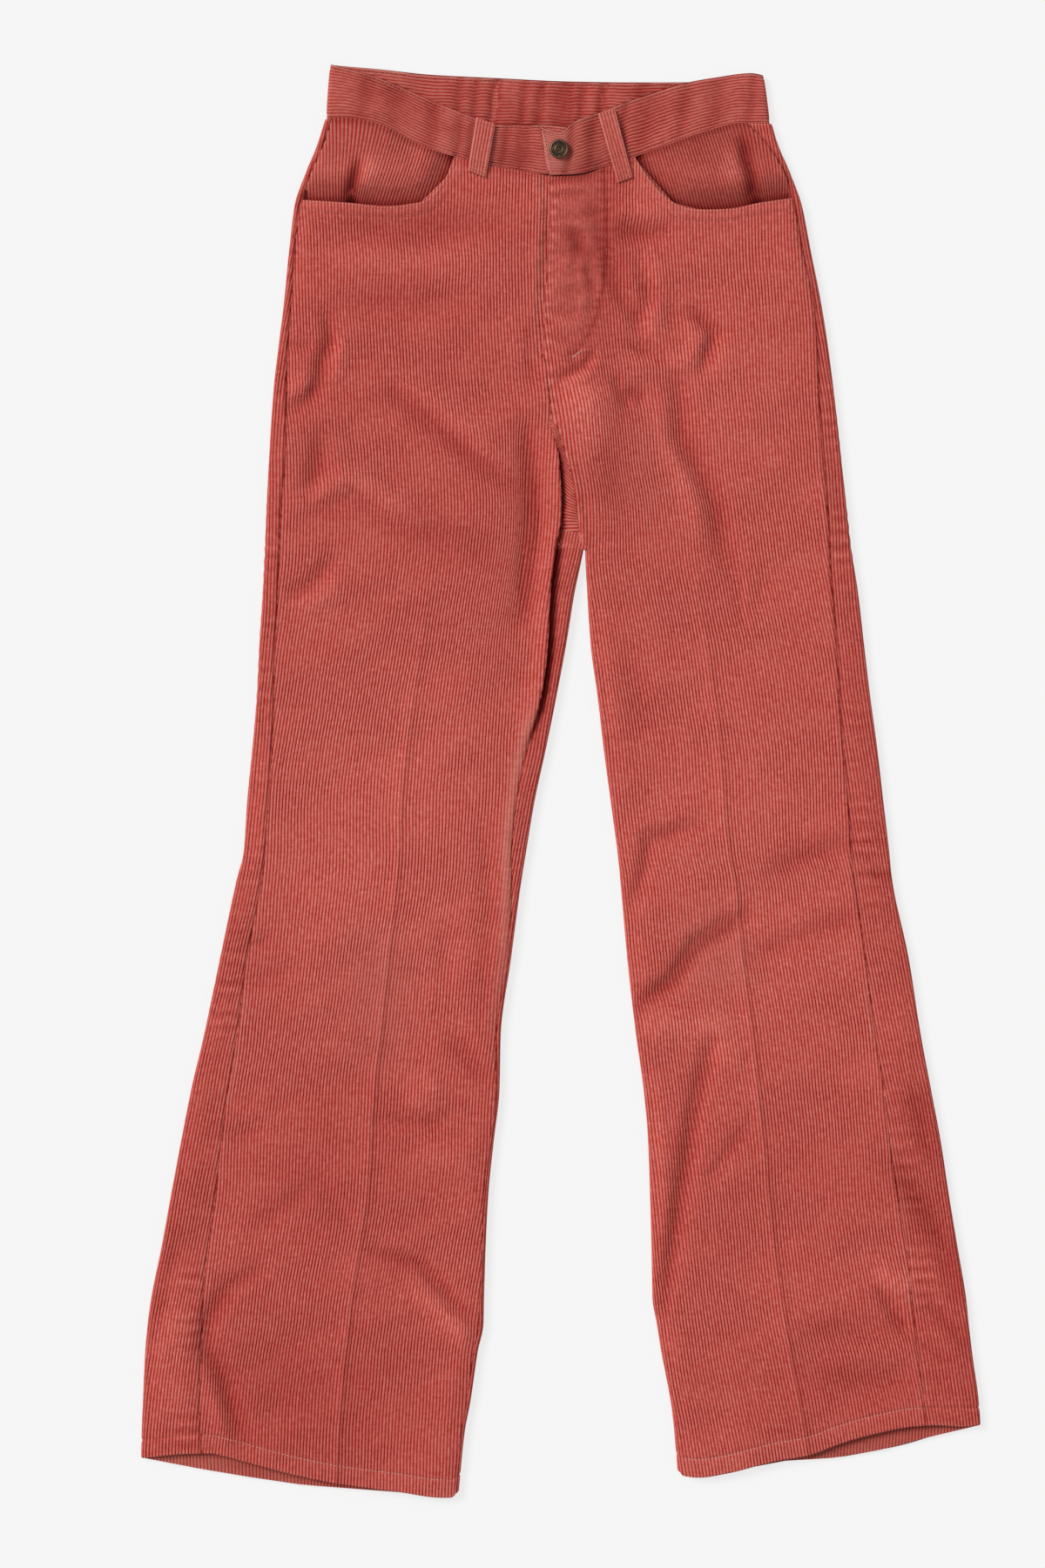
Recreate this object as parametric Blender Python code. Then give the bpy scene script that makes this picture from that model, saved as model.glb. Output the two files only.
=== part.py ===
"""Flared corduroy trousers with five-pocket fronts, laid flat on a table with the front up.

Sizes are in millimetres until a mesh is made. The frame: +X to the wearer's left, +Y towards the
waist, +Z up off the table, origin on the table under the middle of the laid garment. In the tables
"down" is the distance below the highest point of the waistband, and x is measured from the middle.
Each leg is a flattened tube: a front panel on top, and a back panel that wraps round the outer fold
onto the top as far as the outseam. Right and left are the wearer's.
"""

import math
from typing import NamedTuple

import bmesh
import bpy
import numpy as np

MM = 0.001

# Driving dimensions.
OVERALL_LENGTH = 1027.0       # top of the waistband to the lowest point of the hem
WALL = 2.0                    # corduroy, pile included
BAND_WALL = 2.6               # waistband: cloth and its own facing, pressed flat
FACING_WALL = 1.6             # pocket facing, flattened under the pocket edge
LOOP_WALL = 1.8               # belt loop, folded in two
SEAM_GAP = 0.35               # between neighbouring pieces
BAND_GAP = 0.5                # between the waistband and what hangs from it
FOLD_RADIUS = 3.2             # outside radius of every folded edge of the flat tube
BAND_HEIGHT = 38.0
HEM_HEIGHT = 13.0
HEM_EXTRA = 0.8               # the turned-up cloth inside the hem
LEG_LOFT = 5.4                # height of the top layer in the middle of a leg
TORSO_LOFT = 6.8              # the same over the pockets and the fly, which have more layers
HEM_LIFT = 1.6                # how far the front hem stands up off the back hem
LOWEST_TOP = 4.35             # the top layer, where it lies on the back layer
CREASE_RISE = 0.9             # pressed crease down the middle of each front
UNDERLAP_WIDTH = 26.0         # the right front carries on under the fly
UNDERLAP_TOP = 4.35
UNDERLAP_END = 206.0          # how far down the underlap goes
WRAP_UNDER = 6.0              # how far the left front goes under its inner fold
FACING_TOP_UNDER = 3.95       # the facing, where the front panel lies on it
FOLD_SPREAD = 24.0            # how far from a folded edge the top layer settles to its loft
FOLD_CLEAR = 9.0              # soft folds fade out this near to a folded edge
CREASE_WIDTH = 5.0
CREASE_START = (330.0, 400.0)   # the pressed crease rises between these
LOFT_CHANGE = (228.0, 400.0)    # the torso's loft gives way to the leg's
HEM_RISE = 60.0               # the hem's lift starts this far above it
FLY_STEP = (-9.0, -1.0)       # the right front dips under the fly edge, from the rise line
FLY_STEP_END = 22.0           # and stops dipping this far below the end of the underlap
GROOVE_START = (270.0, 300.0)   # the groove that runs down from the rise seam
GROOVE_END = (500.0, 450.0)
GROOVE_ROLL, GROOVE_ROLL_WIDTH = 0.7, 9.0
GROOVE_DEPTH, GROOVE_WIDTH = 1.5, 6.0
SUNK_START = (262.0, 300.0)     # the left front sinks beside the rise seam
SUNK_DEPTH = 1.9
SLOPE_STEP = 0.5              # for the slope of a height
PANEL_MIDDLE = 100.0          # x of the origins of the panels
BUTTON_X, BUTTON_DOWN = -1.3, 61.3
BUTTON_SIDES = 24
BUTTON_SEAT = 0.3

RIGHT, LEFT = -1, 1           # side of the wearer, and the sign of x that points outwards


class LegRow(NamedTuple):
    """Where the lines of a leg cross one section, as x."""

    down: float
    outer: float              # outer folded edge
    outseam: float
    crease: float
    inner: float              # inner folded edge; above the fork only the left leg has one


RIGHT_LEG = (
    LegRow(38.0, -168.6, -164.4, -98.0, 0.0),
    LegRow(58.0, -175.0, -170.8, -99.0, 0.0),
    LegRow(75.0, -182.0, -177.8, -100.0, 0.0),
    LegRow(100.0, -190.8, -186.6, -100.0, 0.0),
    LegRow(134.0, -195.0, -190.6, -99.0, 0.0),
    LegRow(172.0, -198.8, -194.0, -98.0, 0.0),
    LegRow(206.0, -203.0, -195.5, -96.0, 0.0),
    LegRow(228.0, -205.6, -196.3, -95.0, 0.0),
    LegRow(256.0, -207.8, -197.2, -93.0, 0.0),
    LegRow(284.0, -209.4, -198.1, -91.0, 0.0),
    LegRow(313.0, -210.9, -200.0, -90.0, 6.0),
    LegRow(329.0, -211.6, -200.9, -89.4, 12.0),
    LegRow(344.5, -212.2, -201.6, -89.0, 16.6),
    LegRow(345.5, -212.2, -201.7, -89.0, 16.6),
    LegRow(347.0, -212.3, -201.8, -89.2, 16.4),
    LegRow(378.0, -213.8, -203.4, -94.0, 10.0),
    LegRow(416.0, -216.3, -204.7, -101.0, 3.8),
    LegRow(453.0, -218.1, -205.6, -106.0, -3.1),
    LegRow(490.0, -221.3, -207.5, -111.2, -10.6),
    LegRow(528.0, -225.0, -209.0, -115.0, -18.8),
    LegRow(565.0, -227.6, -211.9, -116.6, -25.0),
    LegRow(584.0, -232.5, -214.7, -118.1, -28.1),
    LegRow(640.0, -244.4, -224.4, -124.4, -35.6),
    LegRow(697.0, -256.3, -232.5, -130.0, -43.1),
    LegRow(734.0, -265.0, -238.1, -134.4, -43.9),
    LegRow(772.0, -272.5, -243.0, -137.0, -48.1),
    LegRow(809.0, -279.4, -247.8, -139.4, -51.9),
    LegRow(847.0, -286.3, -252.5, -145.0, -53.8),
    LegRow(884.0, -293.8, -256.3, -150.6, -55.0),
    LegRow(903.0, -296.4, -257.0, -152.6, -55.4),
    LegRow(922.0, -298.1, -258.1, -155.0, -59.4),
    LegRow(959.0, -299.8, -258.3, -158.2, -64.9),
    LegRow(978.0, -300.6, -258.0, -159.6, -68.6),
    LegRow(1027.0, -301.4, -253.2, -162.6, -73.6),
)

LEFT_LEG = (
    LegRow(38.0, 150.0, 129.0, 71.0, -5.0),
    LegRow(58.0, 156.0, 148.6, 71.5, -5.0),
    LegRow(75.0, 163.4, 158.6, 72.0, -4.0),
    LegRow(100.0, 172.6, 166.9, 72.5, -1.0),
    LegRow(134.0, 179.4, 173.8, 73.5, -2.0),
    LegRow(172.0, 186.9, 181.9, 75.0, -4.0),
    LegRow(206.0, 192.2, 183.6, 76.5, -4.6),
    LegRow(228.0, 195.0, 184.7, 77.5, -2.6),
    LegRow(256.0, 198.3, 186.4, 80.0, 0.0),
    LegRow(284.0, 201.3, 188.1, 82.5, 5.6),
    LegRow(313.0, 204.5, 190.3, 87.0, 11.9),
    LegRow(329.0, 206.2, 191.4, 89.4, 15.2),
    LegRow(344.5, 208.0, 192.5, 91.5, 16.4),
    LegRow(345.5, 208.1, 192.6, 91.6, 17.4),
    LegRow(347.0, 208.3, 192.7, 91.8, 17.4),
    LegRow(378.0, 213.1, 195.0, 97.5, 18.8),
    LegRow(416.0, 217.5, 197.2, 104.4, 21.3),
    LegRow(453.0, 221.9, 200.0, 109.4, 26.3),
    LegRow(490.0, 226.9, 202.8, 113.6, 30.6),
    LegRow(528.0, 231.3, 205.3, 116.2, 35.6),
    LegRow(565.0, 235.6, 208.4, 119.8, 40.6),
    LegRow(584.0, 237.6, 210.6, 123.6, 42.5),
    LegRow(640.0, 249.4, 218.1, 129.6, 47.5),
    LegRow(697.0, 258.4, 226.0, 136.6, 54.0),
    LegRow(734.0, 265.4, 231.0, 140.4, 59.2),
    LegRow(772.0, 272.5, 235.9, 144.4, 62.5),
    LegRow(809.0, 278.2, 241.8, 147.8, 63.8),
    LegRow(847.0, 284.4, 247.4, 152.2, 64.9),
    LegRow(884.0, 290.6, 251.9, 157.4, 65.6),
    LegRow(903.0, 292.6, 253.8, 160.2, 68.8),
    LegRow(922.0, 294.8, 255.8, 163.4, 71.8),
    LegRow(959.0, 299.8, 260.0, 170.2, 78.8),
    LegRow(978.0, 301.1, 261.9, 173.4, 81.1),
    LegRow(1027.0, 301.5, 266.5, 180.2, 84.8),
)


class RisePoint(NamedTuple):
    """A point of the fly edge and rise seam, and below the fork of the right leg's inseam."""

    down: float
    x: float


RISE_LINE = (
    RisePoint(38.0, -10.0), RisePoint(58.0, -10.5), RisePoint(75.0, -10.5), RisePoint(100.0, -7.5),
    RisePoint(134.0, -8.8), RisePoint(172.0, -11.2), RisePoint(206.0, -12.4), RisePoint(228.0, -9.6),
    RisePoint(256.0, -6.8), RisePoint(284.0, -0.8), RisePoint(313.0, 0.0), RisePoint(329.0, -0.6),
    RisePoint(344.5, -3.6), RisePoint(345.5, -3.8), RisePoint(347.0, -4.0), RisePoint(378.0, -6.9),
    RisePoint(416.0, -9.6), RisePoint(453.0, -14.2), RisePoint(490.0, -23.8), RisePoint(528.0, -31.9),
    RisePoint(565.0, -35.2), RisePoint(584.0, -37.0), RisePoint(640.0, -41.2), RisePoint(697.0, -48.2),
    RisePoint(734.0, -49.0), RisePoint(772.0, -53.2), RisePoint(809.0, -57.0), RisePoint(847.0, -58.9),
    RisePoint(884.0, -60.2), RisePoint(903.0, -60.6), RisePoint(922.0, -64.5), RisePoint(959.0, -70.0),
    RisePoint(978.0, -73.8), RisePoint(1027.0, -78.8),
)

FORK_LAST_TORSO = 344.5       # last section of the joined top
FORK_FIRST_LEG = 345.5        # first section of the two separate tubes
FORK_FIRST_WRAP = 347.0       # first section where the left front wraps its inner fold


class EdgePoint(NamedTuple):
    """A point of an edge that runs across the garment."""

    x: float
    down: float


RIGHT_POCKET_EDGE = (
    EdgePoint(-187.0, 97.0), EdgePoint(-154.0, 99.4), EdgePoint(-123.0, 101.9),
    EdgePoint(-106.0, 100.0), EdgePoint(-97.0, 98.1), EdgePoint(-90.6, 93.1),
    EdgePoint(-85.0, 85.0), EdgePoint(-78.8, 74.4), EdgePoint(-77.5, 67.2),
)
LEFT_POCKET_EDGE = (
    EdgePoint(53.8, 67.2), EdgePoint(61.3, 79.4), EdgePoint(71.9, 92.5), EdgePoint(80.0, 98.8),
    EdgePoint(88.8, 103.1), EdgePoint(103.8, 104.4), EdgePoint(121.9, 103.8),
    EdgePoint(140.0, 100.0), EdgePoint(168.0, 95.4),
)
RIGHT_BAND_SEAM = (
    EdgePoint(-168.6, 38.6), EdgePoint(-154.4, 38.1), EdgePoint(-137.5, 40.6),
    EdgePoint(-123.1, 45.6), EdgePoint(-106.3, 55.0), EdgePoint(-88.1, 62.5),
    EdgePoint(-73.1, 66.9), EdgePoint(-51.3, 72.4), EdgePoint(-34.4, 75.2),
    EdgePoint(-20.0, 77.4), EdgePoint(-10.6, 78.6), EdgePoint(20.0, 78.8),
)
LEFT_BAND_SEAM = (
    EdgePoint(-11.0, 79.8), EdgePoint(8.1, 79.2), EdgePoint(36.9, 71.9), EdgePoint(51.3, 66.9),
    EdgePoint(77.5, 57.5), EdgePoint(103.8, 48.1), EdgePoint(131.3, 41.9), EdgePoint(152.0, 42.2),
)
RIGHT_BAND_TOP = (
    EdgePoint(-165.6, 0.0), EdgePoint(-150.6, 3.8), EdgePoint(-135.0, 8.1),
    EdgePoint(-113.8, 16.3), EdgePoint(-85.0, 28.8), EdgePoint(-60.0, 38.8),
    EdgePoint(-46.3, 43.1), EdgePoint(-15.6, 43.4), EdgePoint(12.0, 46.0),
)
LEFT_BAND_TOP = (
    EdgePoint(-16.9, 43.8), EdgePoint(-8.0, 47.6), EdgePoint(0.0, 49.0), EdgePoint(8.1, 42.2),
    EdgePoint(27.5, 34.4), EdgePoint(61.3, 21.9), EdgePoint(87.5, 13.8), EdgePoint(110.0, 9.6),
    EdgePoint(136.3, 6.4), EdgePoint(146.0, 8.0),
)
BACK_BAND_TOP = (
    EdgePoint(-165.6, 0.0), EdgePoint(-130.0, 3.1), EdgePoint(-94.4, 6.9), EdgePoint(-46.3, 9.4),
    EdgePoint(8.1, 11.9), EdgePoint(56.3, 12.5), EdgePoint(98.1, 12.3), EdgePoint(125.0, 10.4),
    EdgePoint(146.0, 8.0),
)
RIGHT_FRONT_HEM = (
    EdgePoint(-301.5, 998.8), EdgePoint(-269.4, 995.6), EdgePoint(-250.6, 995.2),
    EdgePoint(-238.1, 998.0), EdgePoint(-214.4, 1004.4), EdgePoint(-186.9, 1011.3),
    EdgePoint(-159.4, 1016.9), EdgePoint(-115.0, 1022.8), EdgePoint(-87.5, 1026.8),
    EdgePoint(-79.0, 1027.0), EdgePoint(-73.4, 1023.2),
)
RIGHT_BACK_HEM = (
    EdgePoint(-301.5, 998.8), EdgePoint(-287.5, 999.6), EdgePoint(-269.4, 1004.4),
    EdgePoint(-223.1, 1012.5), EdgePoint(-179.4, 1018.6), EdgePoint(-157.5, 1020.2),
    EdgePoint(-115.0, 1023.4), EdgePoint(-87.5, 1026.6), EdgePoint(-79.0, 1026.6),
    EdgePoint(-73.4, 1023.2),
)
LEFT_FRONT_HEM = (
    EdgePoint(83.6, 1008.0), EdgePoint(88.6, 1011.6), EdgePoint(99.0, 1012.5),
    EdgePoint(119.4, 1009.4), EdgePoint(153.8, 1000.6), EdgePoint(177.5, 996.4),
    EdgePoint(201.9, 987.6), EdgePoint(227.5, 980.6), EdgePoint(253.1, 975.8),
    EdgePoint(270.0, 975.0), EdgePoint(287.5, 976.0), EdgePoint(301.5, 975.2),
)
LEFT_BACK_HEM = (
    EdgePoint(83.6, 1008.0), EdgePoint(99.0, 1012.0), EdgePoint(119.4, 1009.0),
    EdgePoint(153.8, 1001.4), EdgePoint(177.5, 1000.0), EdgePoint(201.9, 998.0),
    EdgePoint(216.3, 995.2), EdgePoint(236.3, 991.6), EdgePoint(253.1, 987.4),
    EdgePoint(270.0, 981.9), EdgePoint(287.5, 977.6), EdgePoint(301.5, 975.2),
)


class Fold(NamedTuple):
    """A soft fold of the top layer: a ridge, or a trough where height is below 0."""

    x0: float
    down0: float
    x1: float
    down1: float
    width: float
    height: float


FOLDS = (
    Fold(-171.0, 226.0, -187.0, 246.0, 9.0, -1.1),     # pinch at the right hip
    Fold(-178.0, 214.0, -190.0, 232.0, 8.0, 0.7),
    Fold(-166.0, 200.0, -162.0, 306.0, 16.0, -0.8),
    Fold(-20.0, 318.0, -22.0, 428.0, 10.0, -0.8),      # beside the groove of the fork
    Fold(-186.0, 374.0, -157.0, 352.0, 12.0, -0.7),
    Fold(-134.0, 650.0, -128.0, 700.0, 28.0, 0.7),     # right knee
    Fold(-62.0, 896.0, -96.0, 888.0, 9.0, 1.1),        # kink above the right hem
    Fold(-66.0, 916.0, -100.0, 912.0, 10.0, -0.8),
    Fold(-241.0, 926.0, -239.0, 984.0, 12.0, -0.9),
    Fold(102.0, 198.0, 101.0, 216.0, 6.0, 0.8),
    Fold(87.0, 230.0, 93.0, 274.0, 13.0, -1.1),        # long pull down the left thigh
    Fold(104.0, 288.0, 115.0, 343.0, 13.0, -1.0),
    Fold(116.0, 345.0, 139.0, 390.0, 14.0, -0.8),
    Fold(142.0, 602.0, 112.0, 616.0, 13.0, -0.9),      # round the left knee
    Fold(112.0, 616.0, 88.0, 652.0, 12.0, -0.9),
    Fold(120.0, 590.0, 92.0, 612.0, 10.0, 0.8),
    Fold(104.0, 716.0, 86.0, 772.0, 15.0, -0.8),
    Fold(224.0, 581.0, 233.0, 581.0, 5.0, 0.7),
    Fold(72.0, 884.0, 98.0, 879.0, 8.0, 1.2),          # kink above the left hem
    Fold(82.0, 808.0, 82.0, 858.0, 12.0, -0.9),
    Fold(270.0, 890.0, 290.0, 918.0, 8.0, -0.9),
)

# Where the columns of a front panel stand, as shares of the way between two lines of the leg.
COLUMNS_TO_CREASE = (0.0, 0.2, 0.4, 0.6, 0.745, 0.79, 0.85, 0.92, 1.0)
COLUMNS_TO_OUTSEAM = (0.12, 0.3, 0.5, 0.75, 1.0)
COLUMNS_OF_FOLD = 4           # steps round a folded edge
COLUMNS_UNDERSIDE = (0.0, 0.15, 0.33, 0.5, 0.67, 0.85, 1.0)
COLUMNS_OF_STRIP = (0.0, 0.5, 1.0)
COLUMNS_BESIDE_RISE = (0.0, 0.2, 0.4, 0.6, 0.8)
TOP_ROWS = (0.0, 0.2, 0.5)    # rows between the upper edge of a front and its first full section
HIP_ROWS = (58.0, 75.0)       # rows beside the pocket facing
FIRST_FULL_ROW = 134.0
LAST_FULL_ROW = {RIGHT: 978.0, LEFT: 959.0}
LEG_TABLE = {RIGHT: RIGHT_LEG, LEFT: LEFT_LEG}
BAND_SEAM = {RIGHT: RIGHT_BAND_SEAM, LEFT: LEFT_BAND_SEAM}
POCKET_EDGE = {RIGHT: RIGHT_POCKET_EDGE, LEFT: LEFT_POCKET_EDGE}
BAND_TOP = {RIGHT: RIGHT_BAND_TOP, LEFT: LEFT_BAND_TOP}
FRONT_HEM = {RIGHT: RIGHT_FRONT_HEM, LEFT: LEFT_FRONT_HEM}
BACK_HEM = {RIGHT: RIGHT_BACK_HEM, LEFT: LEFT_BACK_HEM}
POCKET_END = {RIGHT: 97.0, LEFT: 95.8}         # how far down the pocket edge meets the outseam
POCKET_INNER_END = {RIGHT: -77.5, LEFT: 53.8}  # x where it meets the waistband
CENTRE_BACK = (EdgePoint(-10.0, 38.0), EdgePoint(7.0, FORK_LAST_TORSO))
SIDE_NAME = {RIGHT: "right", LEFT: "left"}

# The look of each material: base colour, roughness, metallic.
CORDUROY = ("cotton_corduroy", (0.50, 0.11, 0.09, 1.0), 0.9, 0.0)
BRASS = ("antique_brass", (0.10, 0.085, 0.06, 1.0), 0.45, 1.0)


def smooth(knots, values, at):
    """Smooth curve through the knots that never swings past them."""
    knots, values = np.asarray(knots, float), np.asarray(values, float)
    at = np.clip(np.asarray(at, float), knots[0], knots[-1])
    step = np.diff(knots)
    slope = np.diff(values) / step
    product = slope[:-1] * slope[1:]
    total = slope[:-1] + slope[1:]
    mean = np.where(product > 0.0, 2.0 * product / np.where(product > 0.0, total, 1.0), 0.0)
    tangent = np.concatenate(([slope[0]], mean, [slope[-1]]))
    index = np.clip(np.searchsorted(knots, at, side="right") - 1, 0, len(step) - 1)
    width = step[index]
    t = (at - knots[index]) / width
    rise = values[index + 1] - values[index]
    start, end = tangent[index] * width, tangent[index + 1] * width
    return values[index] + t * (start + t * (3 * rise - 2 * start - end + t * (start + end - 2 * rise)))


def edge(points, x):
    """How far down an edge that runs across the garment lies at x."""
    return smooth([point.x for point in points], [point.down for point in points], x)


def line(side, name, down):
    """x of one of the named lines of a leg."""
    rows = LEG_TABLE[side]
    return smooth([row.down for row in rows], [getattr(row, name) for row in rows], down)


def rise_line(down):
    """x of the fly edge, the rise seam and the right leg's inseam."""
    return smooth([point.down for point in RISE_LINE], [point.x for point in RISE_LINE], down)


def ease(start, end, value):
    """0 before start, 1 after end, smooth between."""
    t = np.clip((np.asarray(value, float) - start) / (end - start), 0.0, 1.0)
    return t * t * (3.0 - 2.0 * t)


def bell(distance, width):
    """1 at distance 0, fading over the width."""
    return np.exp(-(np.asarray(distance, float) / width) ** 2)


def distance_to_segment(x, down, x0, down0, x1, down1):
    """Distance from points to a straight segment."""
    along = np.array((x1 - x0, down1 - down0))
    t = ((x - x0) * along[0] + (down - down0) * along[1]) / along.dot(along)
    t = np.clip(t, 0.0, 1.0)
    return np.hypot(x - x0 - t * along[0], down - down0 - t * along[1])


def top_height(side, x, down):
    """Height of the outer face of the top layer."""
    x, down = np.broadcast_arrays(np.asarray(x, float), np.asarray(down, float))
    to_outer = np.abs(line(side, "outer", down) - side * FOLD_RADIUS - x)
    to_inner = np.abs(line(side, "inner", down) + side * FOLD_RADIUS - x)
    from_fold = np.where(down < FORK_FIRST_LEG, to_outer, np.minimum(to_outer, to_inner))
    loft = TORSO_LOFT + (LEG_LOFT - TORSO_LOFT) * ease(*LOFT_CHANGE, down)
    loft = loft + HEM_LIFT * ease(HEM_RISE, 0.0, edge(FRONT_HEM[side], x) - down)
    height = loft + (2.0 * FOLD_RADIUS - loft) * bell(from_fold, FOLD_SPREAD)
    folds = sum(fold.height * bell(distance_to_segment(x, down, *fold[:4]), fold.width)
                for fold in FOLDS)
    from_crease = x - line(side, "crease", down)
    folds = folds + CREASE_RISE * bell(from_crease, CREASE_WIDTH) * ease(*CREASE_START, down)
    height = height + folds * (1.0 - bell(from_fold, FOLD_CLEAR))
    return np.maximum(height, LOWEST_TOP)


def groove_window(down):
    """1 along the groove that runs down from the rise seam, 0 above and below it."""
    return ease(*GROOVE_START, down) * ease(*GROOVE_END, down)


def right_front_height(x, down):
    """The right front: it lies under the fly edge and rolls over the groove of the fork."""
    height = top_height(RIGHT, x, down)
    from_rise = x - rise_line(down)
    rolled = height + GROOVE_ROLL * bell(from_rise, GROOVE_ROLL_WIDTH) * groove_window(down)
    under = ease(*FLY_STEP, from_rise) * ease(UNDERLAP_END + FLY_STEP_END, UNDERLAP_END, down)
    return rolled + (UNDERLAP_TOP - rolled) * under


def left_front_height(x, down):
    """The left front: it sinks into the groove beside the rise seam."""
    height = top_height(LEFT, x, down)
    rise = rise_line(down)
    fold = line(LEFT, "inner", down)
    depth = np.clip((fold - x) / np.maximum(fold - rise, 1.0), 0.0, 1.0)
    sunk = depth * ease(*SUNK_START, down) * ease(FORK_FIRST_LEG, FORK_LAST_TORSO, down)
    return np.maximum(height - SUNK_DEPTH * sunk, LOWEST_TOP)


def right_back_height(x, down):
    """The strips of the right back that show on top: one is sunk in the groove of the fork."""
    height = top_height(RIGHT, x, down)
    from_rise = x - rise_line(down)
    from_fold = line(RIGHT, "inner", down) - FOLD_RADIUS - x
    sunk = bell(from_rise, GROOVE_WIDTH) * groove_window(down) * (1.0 - bell(from_fold, CREASE_WIDTH))
    return np.maximum(height - GROOVE_DEPTH * np.where(from_rise > 0.0, sunk, 0.0), LOWEST_TOP)


def left_back_height(x, down):
    """The strip of the left back that shows on top."""
    return top_height(LEFT, x, down)


def on_top(height, x, down):
    """Points on a top face with their outward directions, one row of (x, down, z, nx, nz)."""
    rise = height(x + SLOPE_STEP, down) - height(x - SLOPE_STEP, down)
    slope = rise / (2.0 * SLOPE_STEP)
    size = np.hypot(slope, 1.0)
    return np.stack([x, down, height(x, down), -slope / size, 1.0 / size], axis=-1)


def round_fold(side, direction, edge_x, down, angle):
    """Points round a folded edge; angle 0 is the top of the fold and pi the table."""
    centre = edge_x - direction * FOLD_RADIUS
    nx, nz = direction * math.sin(angle), math.cos(angle)
    x = centre + FOLD_RADIUS * nx
    z = np.full_like(x, FOLD_RADIUS + FOLD_RADIUS * nz)
    return np.stack([x, down, z, np.full_like(x, nx), np.full_like(x, nz)], axis=-1)


def on_table(x, down):
    """Points on the table, facing down."""
    zero = np.zeros_like(x)
    return np.stack([x, down, zero, zero, zero - 1.0], axis=-1)


def cloth_solid(name, points, wall, present, origin):
    """A closed wall of cloth behind a grid of points; present says which cells exist."""
    rows, columns = points.shape[:2]
    wall = np.broadcast_to(wall, (rows, columns))
    outer = np.stack([points[..., 0], OVERALL_LENGTH / 2 - points[..., 1], points[..., 2]], axis=-1)
    normal = np.stack([points[..., 3], np.zeros((rows, columns)), points[..., 4]], axis=-1)
    layers = (outer, outer - wall[..., None] * normal)
    mesh = bmesh.new()
    made = {}

    def corner(layer, row, column):
        key = (layer, row, column)
        if key not in made:
            place = [value * MM for value in layers[layer][row, column] - np.array(origin)]
            made[key] = mesh.verts.new(place)
        return made[key]

    def cell(row, column):
        inside = 0 <= row < rows - 1 and 0 <= column < columns - 1
        return inside and present[row, column]

    for row in range(rows - 1):
        for column in range(columns - 1):
            if not present[row, column]:
                continue
            ring = ((row, column), (row + 1, column), (row + 1, column + 1), (row, column + 1))
            mesh.faces.new([corner(0, *at) for at in ring])
            mesh.faces.new([corner(1, *at) for at in reversed(ring)])
            beside = ((row, column - 1), (row + 1, column), (row, column + 1), (row - 1, column))
            for index, neighbour in enumerate(beside):
                if not cell(*neighbour):
                    first, second = ring[index], ring[(index + 1) % 4]
                    mesh.faces.new([corner(0, *second), corner(0, *first),
                                    corner(1, *first), corner(1, *second)])
    bmesh.ops.recalc_face_normals(mesh, faces=mesh.faces)
    return finish_mesh(name, mesh, origin, CORDUROY)


def finish_mesh(name, mesh, origin, look):
    """Turn a bmesh into a placed object with its material."""
    data = bpy.data.meshes.new(name)
    mesh.to_mesh(data)
    mesh.free()
    data.shade_smooth()
    data.set_sharp_from_angle(angle=math.radians(40.0))
    data.materials.append(material(*look))
    thing = bpy.data.objects.new(name, data)
    thing.location = [value * MM for value in origin]
    bpy.context.scene.collection.objects.link(thing)
    thing.parent = bpy.data.objects["trousers"]
    return thing


def material(name, colour, roughness, metallic):
    """A Principled material, made once."""
    found = bpy.data.materials.get(name)
    if found:
        return found
    made = bpy.data.materials.new(name)
    made.use_nodes = True
    shader = made.node_tree.nodes["Principled BSDF"]
    shader.inputs["Base Color"].default_value = colour
    shader.inputs["Roughness"].default_value = roughness
    shader.inputs["Metallic"].default_value = metallic
    return made


def front_top_rows(upper):
    """Rows of a front panel from its upper edge to its first full section."""
    return [upper + share * (FIRST_FULL_ROW - upper) for share in TOP_ROWS]


def side_seam_rows(side, upper):
    """Rows beside the pocket, shared by the back and the facing; they end like the front's."""
    return [upper, 0.5 * (upper + HIP_ROWS[0]), *HIP_ROWS, *front_top_rows(POCKET_END[side])]


def section_rows(side, top, lower):
    """How far down each row of a panel lies in one column; top has the rows above the full ones."""
    full = [row.down for row in LEG_TABLE[side]
            if FIRST_FULL_ROW <= row.down <= LAST_FULL_ROW[side]]
    hem = [lower - HEM_HEIGHT - 1.0, lower - HEM_HEIGHT + 1.0, lower]
    return np.array(list(top) + full + hem)


def hem_wall(downs):
    """The wall thickness down one column: thicker in the hem."""
    wall = np.full(len(downs), WALL)
    wall[-2:] = WALL + HEM_EXTRA
    return wall


def front_edge(side, x):
    """Upper edge of a front panel: the curved pocket edge, then the seam of the waistband."""
    at_pocket = (x - POCKET_INNER_END[side]) * side > 0.0
    return np.where(at_pocket, edge(POCKET_EDGE[side], x), edge(BAND_SEAM[side], x) + BAND_GAP)


def meet(x_at, edge_at, start):
    """How far down a column, whose x depends on down, meets an edge, which depends on x."""
    down = start
    for _ in range(20):
        down = 0.5 * down + 0.5 * float(edge_at(x_at(np.array([down]))[0]))
    return down


def front_rows(side, x_at):
    """Rows of one column of a front panel."""
    upper = meet(x_at, lambda x: front_edge(side, x), FIRST_FULL_ROW)
    lower = meet(x_at, lambda x: edge(FRONT_HEM[side], x), OVERALL_LENGTH)
    return section_rows(side, front_top_rows(upper), lower)


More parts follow.
